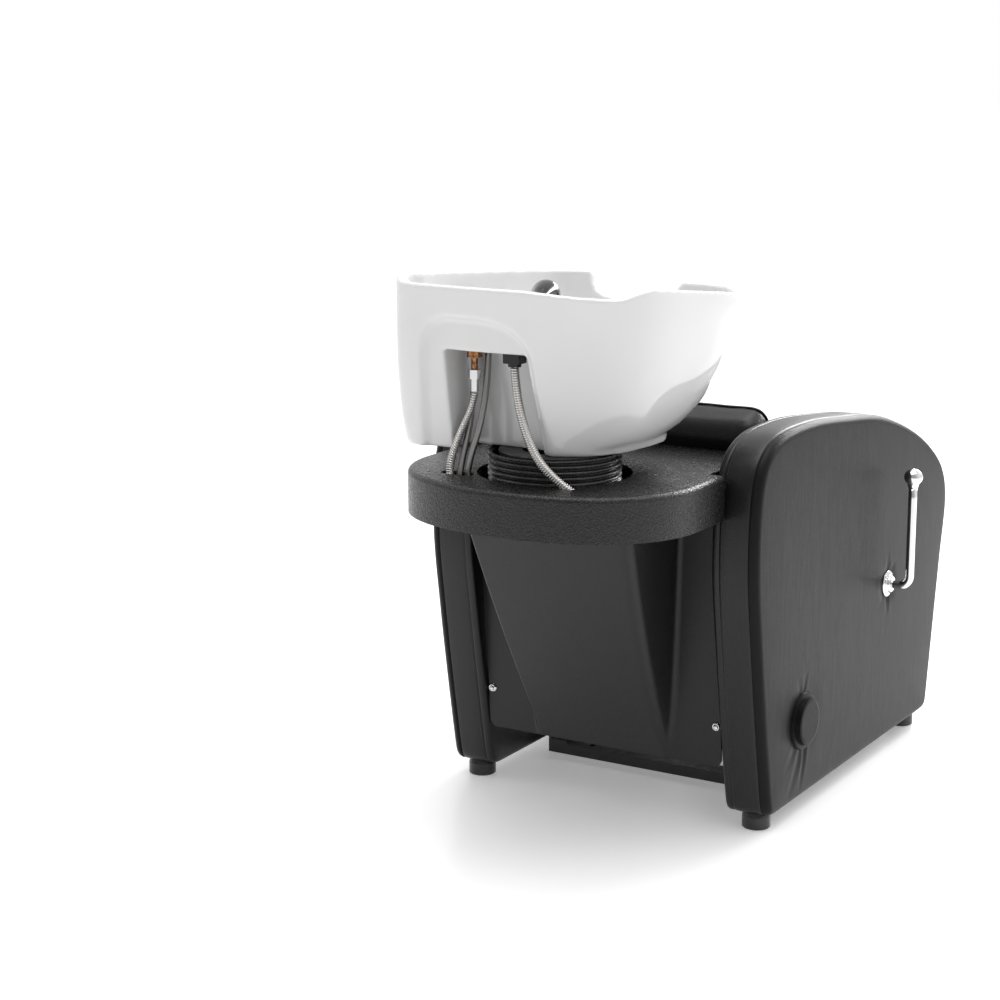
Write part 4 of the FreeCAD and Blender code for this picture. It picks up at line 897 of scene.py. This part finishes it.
def cover():
    """The folded sheet with its thickness and rounded lower corners."""
    levels = [COVER_LOW + (COVER_HIGH - COVER_LOW) * k / COVER_STEPS for k in range(COVER_STEPS + 1)]
    outside = [cover_line(level, 0.0) for level in levels]
    for ring in outside[:6]:
        for point in (ring[0], ring[-1]):
            gap = max(0.0, COVER_LOW + COVER_CORNER - point.z)
            point.x -= math.copysign(gap * gap / (2 * COVER_CORNER), point.x)
    inside = [[p + Vector((0, COVER_SKIN, 0)) for p in ring] for ring in outside]
    columns = len(outside[0])
    verts = [p for ring in outside for p in ring] + [p for ring in inside for p in ring]
    shift = len(outside) * columns
    faces = []
    for row in range(len(levels) - 1):
        for col in range(columns - 1):
            a = row * columns + col
            quad = (a, a + 1, a + 1 + columns, a + columns)
            faces += [quad, tuple(k + shift for k in reversed(quad))]
    edge = list(range(columns))
    edge += [row * columns + columns - 1 for row in range(1, len(levels))]
    edge += [(len(levels) - 1) * columns + col for col in range(columns - 2, -1, -1)]
    edge += [row * columns for row in range(len(levels) - 2, 0, -1)]
    faces += [(a, b, b + shift, a + shift) for a, b in zip(edge, edge[1:] + edge[:1])]
    obj = piece("rear_cover_shell", verts, faces, FINE_ABS, "base", "black_plastic", ("rear_cover",))
    mark_sharp(obj, 60)


def mark_sharp(obj, degrees):
    """Keep edges sharper than an angle crisp."""
    work = bmesh.new()
    work.from_mesh(obj.data)
    for edge in work.edges:
        if len(edge.link_faces) == 2 and edge.calc_face_angle(0) > math.radians(degrees):
            edge.smooth = False
    work.to_mesh(obj.data)
    work.free()


cover()
side_lever()


# ---------------- bellows under the basin
TILT_Y = -0.415


def bellows():
    """A ribbed rubber sleeve with rounded ribs, open at both ends."""
    base, top, foot, flange = 0.603, 0.6796, 0.0042, 0.006
    pitch, radius, depth, wall = 0.0095, 0.112, 0.007, 0.003
    outside = [(radius + flange, base), (radius + flange, base + wall), (radius - depth, base + foot)]
    steps = 64
    for k in range(steps + 1):
        level = base + foot + (top - base - foot) * k / steps
        swing = 0.5 - 0.5 * math.cos(2 * math.pi * (level - base - foot) / pitch)
        outside.append((radius - depth * (1 - swing ** 0.6), level))
    inside = [(r - wall, level) for r, level in reversed(outside[2:])] + [(radius - depth - wall, base)]
    verts, faces = lathe(outside + inside, (0, TILT_Y))
    obj = piece("bellows_sleeve", verts, faces, RUBBER, None, "black_rubber", ("bellows",))
    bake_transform(obj)


bellows()


# ---------------- hoses
# Routes in millimetres, from the basin down.
SHOWER_ROUTE = [(-34, -489, 823.6), (-30, -492, 795), (-17, -502, 755), (6, -517, 717), (33, -531, 684),
                (64, -531, 657), (92, -525, 636), (117, -516, 620)]
OUTLET_ROUTE = [(-119, -475, 773.2), (-121, -482, 748), (-133, -492, 716), (-141, -503, 684),
                (-146, -512, 652), (-138, -521, 622), (-112, -538, 603), (-66, -552, 598), (-12, -557, 599),
                (42, -551, 602), (84, -540, 604), (114, -528, 603)]
HOT_ROUTE = [(-133, -452, 845.6), (-131, -457, 806), (-128, -467, 758), (-127, -480, 712), (-128, -498, 670),
             (-131, -507, 632), (-134, -490, 602), (-138, -455, 584), (-141, -420, 560), (-141, -378, 510),
             (-139, -330, 450), (-138, -275, 390), (-141, -215, 330), (-146, -150, 275), (-150, -90, 225),
             (-150, -48, 190), (-150, -40, 156.2)]
COLD_ROUTE = [(-104, -455, 845.6), (-102, -462, 806), (-100, -475, 758), (-103, -489, 712), (-112, -501, 670),
              (-117, -505, 632), (-119, -487, 602), (-119, -452, 584), (-118, -414, 556), (-115, -370, 504),
              (-112, -320, 444), (-110, -264, 384), (-107, -204, 324), (-103, -142, 270), (-100, -86, 222),
              (-100, -48, 190), (-100, -40, 156.2)]
WASTE_ROUTE = [(8, -388, 639.7), (8, -388, 602), (8, -380, 568), (7, -364, 535), (6, -337, 503),
               (4, -300, 472), (3, -252, 440), (2, -198, 410), (0, -152, 372), (1, -115, 325), (0, -85, 278),
               (0, -68, 235), (0, -60, 196), (0, -60, 160.5)]


def spline_points(route):
    """Points read from the route's own NURBS spline."""
    data = bpy.data.curves.new("route", "CURVE")
    data.dimensions = "3D"
    data.resolution_u = 24
    line = data.splines.new("NURBS")
    line.points.add(len(route) - 1)
    for point, (x, y, z) in zip(line.points, route):
        point.co = (x * MM, y * MM, z * MM, 1)
    line.order_u = 3
    line.use_endpoint_u = True
    obj = placed("route", data)
    graph = bpy.context.evaluated_depsgraph_get()
    mesh = bpy.data.meshes.new_from_object(obj.evaluated_get(graph))
    points = [v.co.copy() for v in mesh.vertices]
    bpy.data.objects.remove(obj)
    return points


def hose(name, node, route, bends_to, radius_at, step, sides, look, slot, length, diameter, **facts):
    """A hose along its route; radius_at(distance, angle) shapes its winding, braid or corrugation.
    """
    line = spline_points(route)
    total = sum((b - a).length for a, b in zip(line, line[1:]))
    line = resample(line, int(total / step) + 1)
    rings, side, before = [], None, None
    for index, spot in enumerate(line):
        along = (line[min(index + 1, len(line) - 1)] - line[max(index - 1, 0)]).normalized()
        if side is None:
            side = along.orthogonal().normalized()
        else:
            side = before.rotation_difference(along) @ side
        before = along
        other = along.cross(side)
        ring = []
        for angle in angles(sides):
            reach = radius_at(index * step, angle)
            ring.append(spot + side * reach * math.cos(angle) + other * reach * math.sin(angle))
        rings.append(ring)
    obj = piece(name, *strip(rings), look, None, slot, (node,))
    start, end = (tuple(c * MM for c in route[k]) for k in (0, bends_to))
    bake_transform(obj)
    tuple(start)
    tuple(end)
    tuple(line[0])
    [tuple(p) for p in line[::4] + line[-1:]]


def wound(radius, pitch, depth):
    """Interlocked steel strip wound in a helix."""
    def reach(distance, angle):
        turn = (distance / pitch + angle / (2 * math.pi)) % 1
        return radius - depth * (1 - math.sin(math.pi * turn) ** 0.5)
    return reach


def braided(radius, depth, strands=9, lay=0.017):
    """Crossing steel strands plaited over a rubber core."""
    def reach(distance, angle):
        turn = 2 * math.pi * distance / lay
        weave = math.sin(strands * angle + turn * 3) * math.sin(strands * angle - turn * 3)
        return radius + depth * weave
    return reach


def corrugated(radius, pitch, depth):
    """Even round waves along a plastic hose."""
    def reach(distance, angle):
        return radius - depth * (0.5 - 0.5 * math.cos(2 * math.pi * distance / pitch))
    return reach


hose("shower_hose_winding", "shower_hose", SHOWER_ROUTE, -1, wound(0.0075, 0.0042, 0.0019), 0.0006, 24,
     COIL, "braid", length=0.271, diameter=0.015, stiffness="medium", lay="loose")
hose("outlet_hose_winding", "outlet_hose", OUTLET_ROUTE, 5, wound(0.0070, 0.0040, 0.0018), 0.0006, 24,
     COIL, "braid", length=0.430, diameter=0.014, stiffness="medium", lay="loose")
hose("hot_hose_braid", "hot_hose", HOT_ROUTE, 5, braided(0.0052, 0.0006), 0.0011, 36,
     BRAID, "braid", length=0.896, diameter=0.011, stiffness="medium", lay="loose")
hose("cold_hose_braid", "cold_hose", COLD_ROUTE, 5, braided(0.0052, 0.0006), 0.0011, 36,
     BRAID, "braid", length=0.893, diameter=0.011, stiffness="medium", lay="loose")
hose("waste_hose_corrugated", "waste_hose", WASTE_ROUTE, 4, corrugated(0.021, 0.0062, 0.0022), 0.0009, 36,
     WASTE, "waste_plastic", length=0.614, diameter=0.042, stiffness="stiff", lay="hanging")


# ---------------- hand shower
def hand_shower():
    """Handle and head in one sweep: a slim grip that swells into a round head facing down."""
    way = Vector((-66, 211, 50)).normalized()
    mouth = Vector((-0.030, -0.481, 0.886)) + way * 0.024
    down = Vector((-0.12, 0.35, -0.93)).normalized()
    head = mouth + way * 0.166
    spine = [mouth - way * 0.022, mouth - way * 0.001, mouth + way * 0.001, mouth + way * 0.03,
             mouth + way * 0.08, mouth + way * 0.118, mouth + way * 0.142, head + down * 0.002 + way * 0.004,
             head + down * 0.012 + way * 0.004, head + down * 0.019 + way * 0.002]
    radii = [0.0099, 0.0099, 0.0132, 0.0138, 0.0122, 0.0125, 0.0165, 0.0225, 0.0262, 0.0262]
    heads = [way] * 6 + [way.lerp(down, 0.25), way.lerp(down, 0.62), way.lerp(down, 0.92), down]
    rings, steps, sides = [], 90, 40
    for step in range(steps + 1):
        share = step / steps
        spot = catmull(spine, share)
        radius = catmull([Vector((r, 0)) for r in radii], share).x
        facing = catmull(heads, share).normalized()
        side = facing.cross(Vector((1, 0, 0.1))).normalized()
        other = facing.cross(side)
        rings.append([spot + (side * math.cos(a) + other * math.sin(a)) * radius for a in angles(sides)])
    face = rings[-1]
    middle = sum(face, Vector()) / sides
    for share, lift in ((0.96, 0.0012), (0.9, 0.0014), (0.88, 0.0002), (0.5, 0.0012), (0.1, 0.0016)):
        rings.append([middle + (p - middle) * share + down * lift for p in face])
    piece("hand_shower", *strip(rings), GLOSS, "hand_shower_body", "gloss_black",
          ("shower_handle", "shower_head"))


hand_shower()


# ---------------- studio, light and camera
FLOOR_HALF = 30
CAMERA_PLACE, CAMERA_DOWN, CAMERA_ROUND, LENS = (1.8066, -3.5940, 1.3786), 12.13, 31.04, 80.58


def studio_floor():
    """A wide pale floor, faintly glossy, that gives off a little light so that it stays white far away."""
    m = Nodes("studio_floor", (0.95, 0.95, 0.95), 0.3, Specular_IOR_Level=0.5)
    m.roughen(m.noise(3, 2), 0.26, 0.34)
    m.shader.inputs["Emission Color"].default_value = (1, 1, 1, 1)
    m.shader.inputs["Emission Strength"].default_value = 0.26
    mesh = bpy.data.meshes.new("studio_floor")
    mesh.from_pydata([(x * FLOOR_HALF, y * FLOOR_HALF, 0) for x, y in ((-1, -1), (1, -1), (1, 1), (-1, 1))],
                     [], [(0, 1, 2, 3)])
    mesh.materials.append(m.material)
    floor = placed("studio_floor", mesh)


def softbox(name, place, aim, size, power):
    """A rectangular lamp turned towards a place."""
    data = bpy.data.lights.new(name, "AREA")
    data.shape, data.size, data.size_y, data.energy = "RECTANGLE", size[0], size[1], power
    light = placed(name, data)
    light.location = place
    light.rotation_euler = (Vector(aim) - Vector(place)).to_track_quat("-Z", "Y").to_euler()


def surroundings():
    """A white world that is dimmer towards -Y, for soft edges on the rear of the unit."""
    world = bpy.data.worlds.new("studio")
    world.use_nodes = True
    nodes, links = world.node_tree.nodes, world.node_tree.links
    nodes["Background"].inputs["Color"].default_value = (1, 1, 1, 1)
    way = nodes.new("ShaderNodeSeparateXYZ")
    glow = nodes.new("ShaderNodeMapRange")
    for socket, number in (("From Min", -0.75), ("From Max", 0.15), ("To Min", 0.42), ("To Max", 1.0)):
        glow.inputs[socket].default_value = number
    links.new(nodes.new("ShaderNodeTexCoord").outputs["Generated"], way.inputs["Vector"])
    links.new(way.outputs["Y"], glow.inputs["Value"])
    links.new(glow.outputs["Result"], nodes["Background"].inputs["Strength"])
    scene.world = world
    scene.view_settings.view_transform = "Standard"


def camera():
    """A long lens from the rear right, a little above the basin, with the unit right of the middle."""
    data = bpy.data.cameras.new("camera")
    data.sensor_width, data.lens = 36, LENS
    view = placed("camera", data)
    view.location = CAMERA_PLACE
    view.rotation_euler = (math.radians(90 - CAMERA_DOWN), 0, math.radians(CAMERA_ROUND))
    scene.camera = view


studio_floor()
softbox("top_light", (0.1, -0.1, 3.2), (0, 0, 0.4), (2.6, 2.6), 62)
softbox("left_light", (-2.4, -1.6, 2.3), (0, -0.2, 0.5), (0.8, 1.6), 5)
softbox("back_light", (0.5, 3.4, 2.0), (0, 0, 0.6), (2.8, 0.9), 110)
surroundings()
camera()
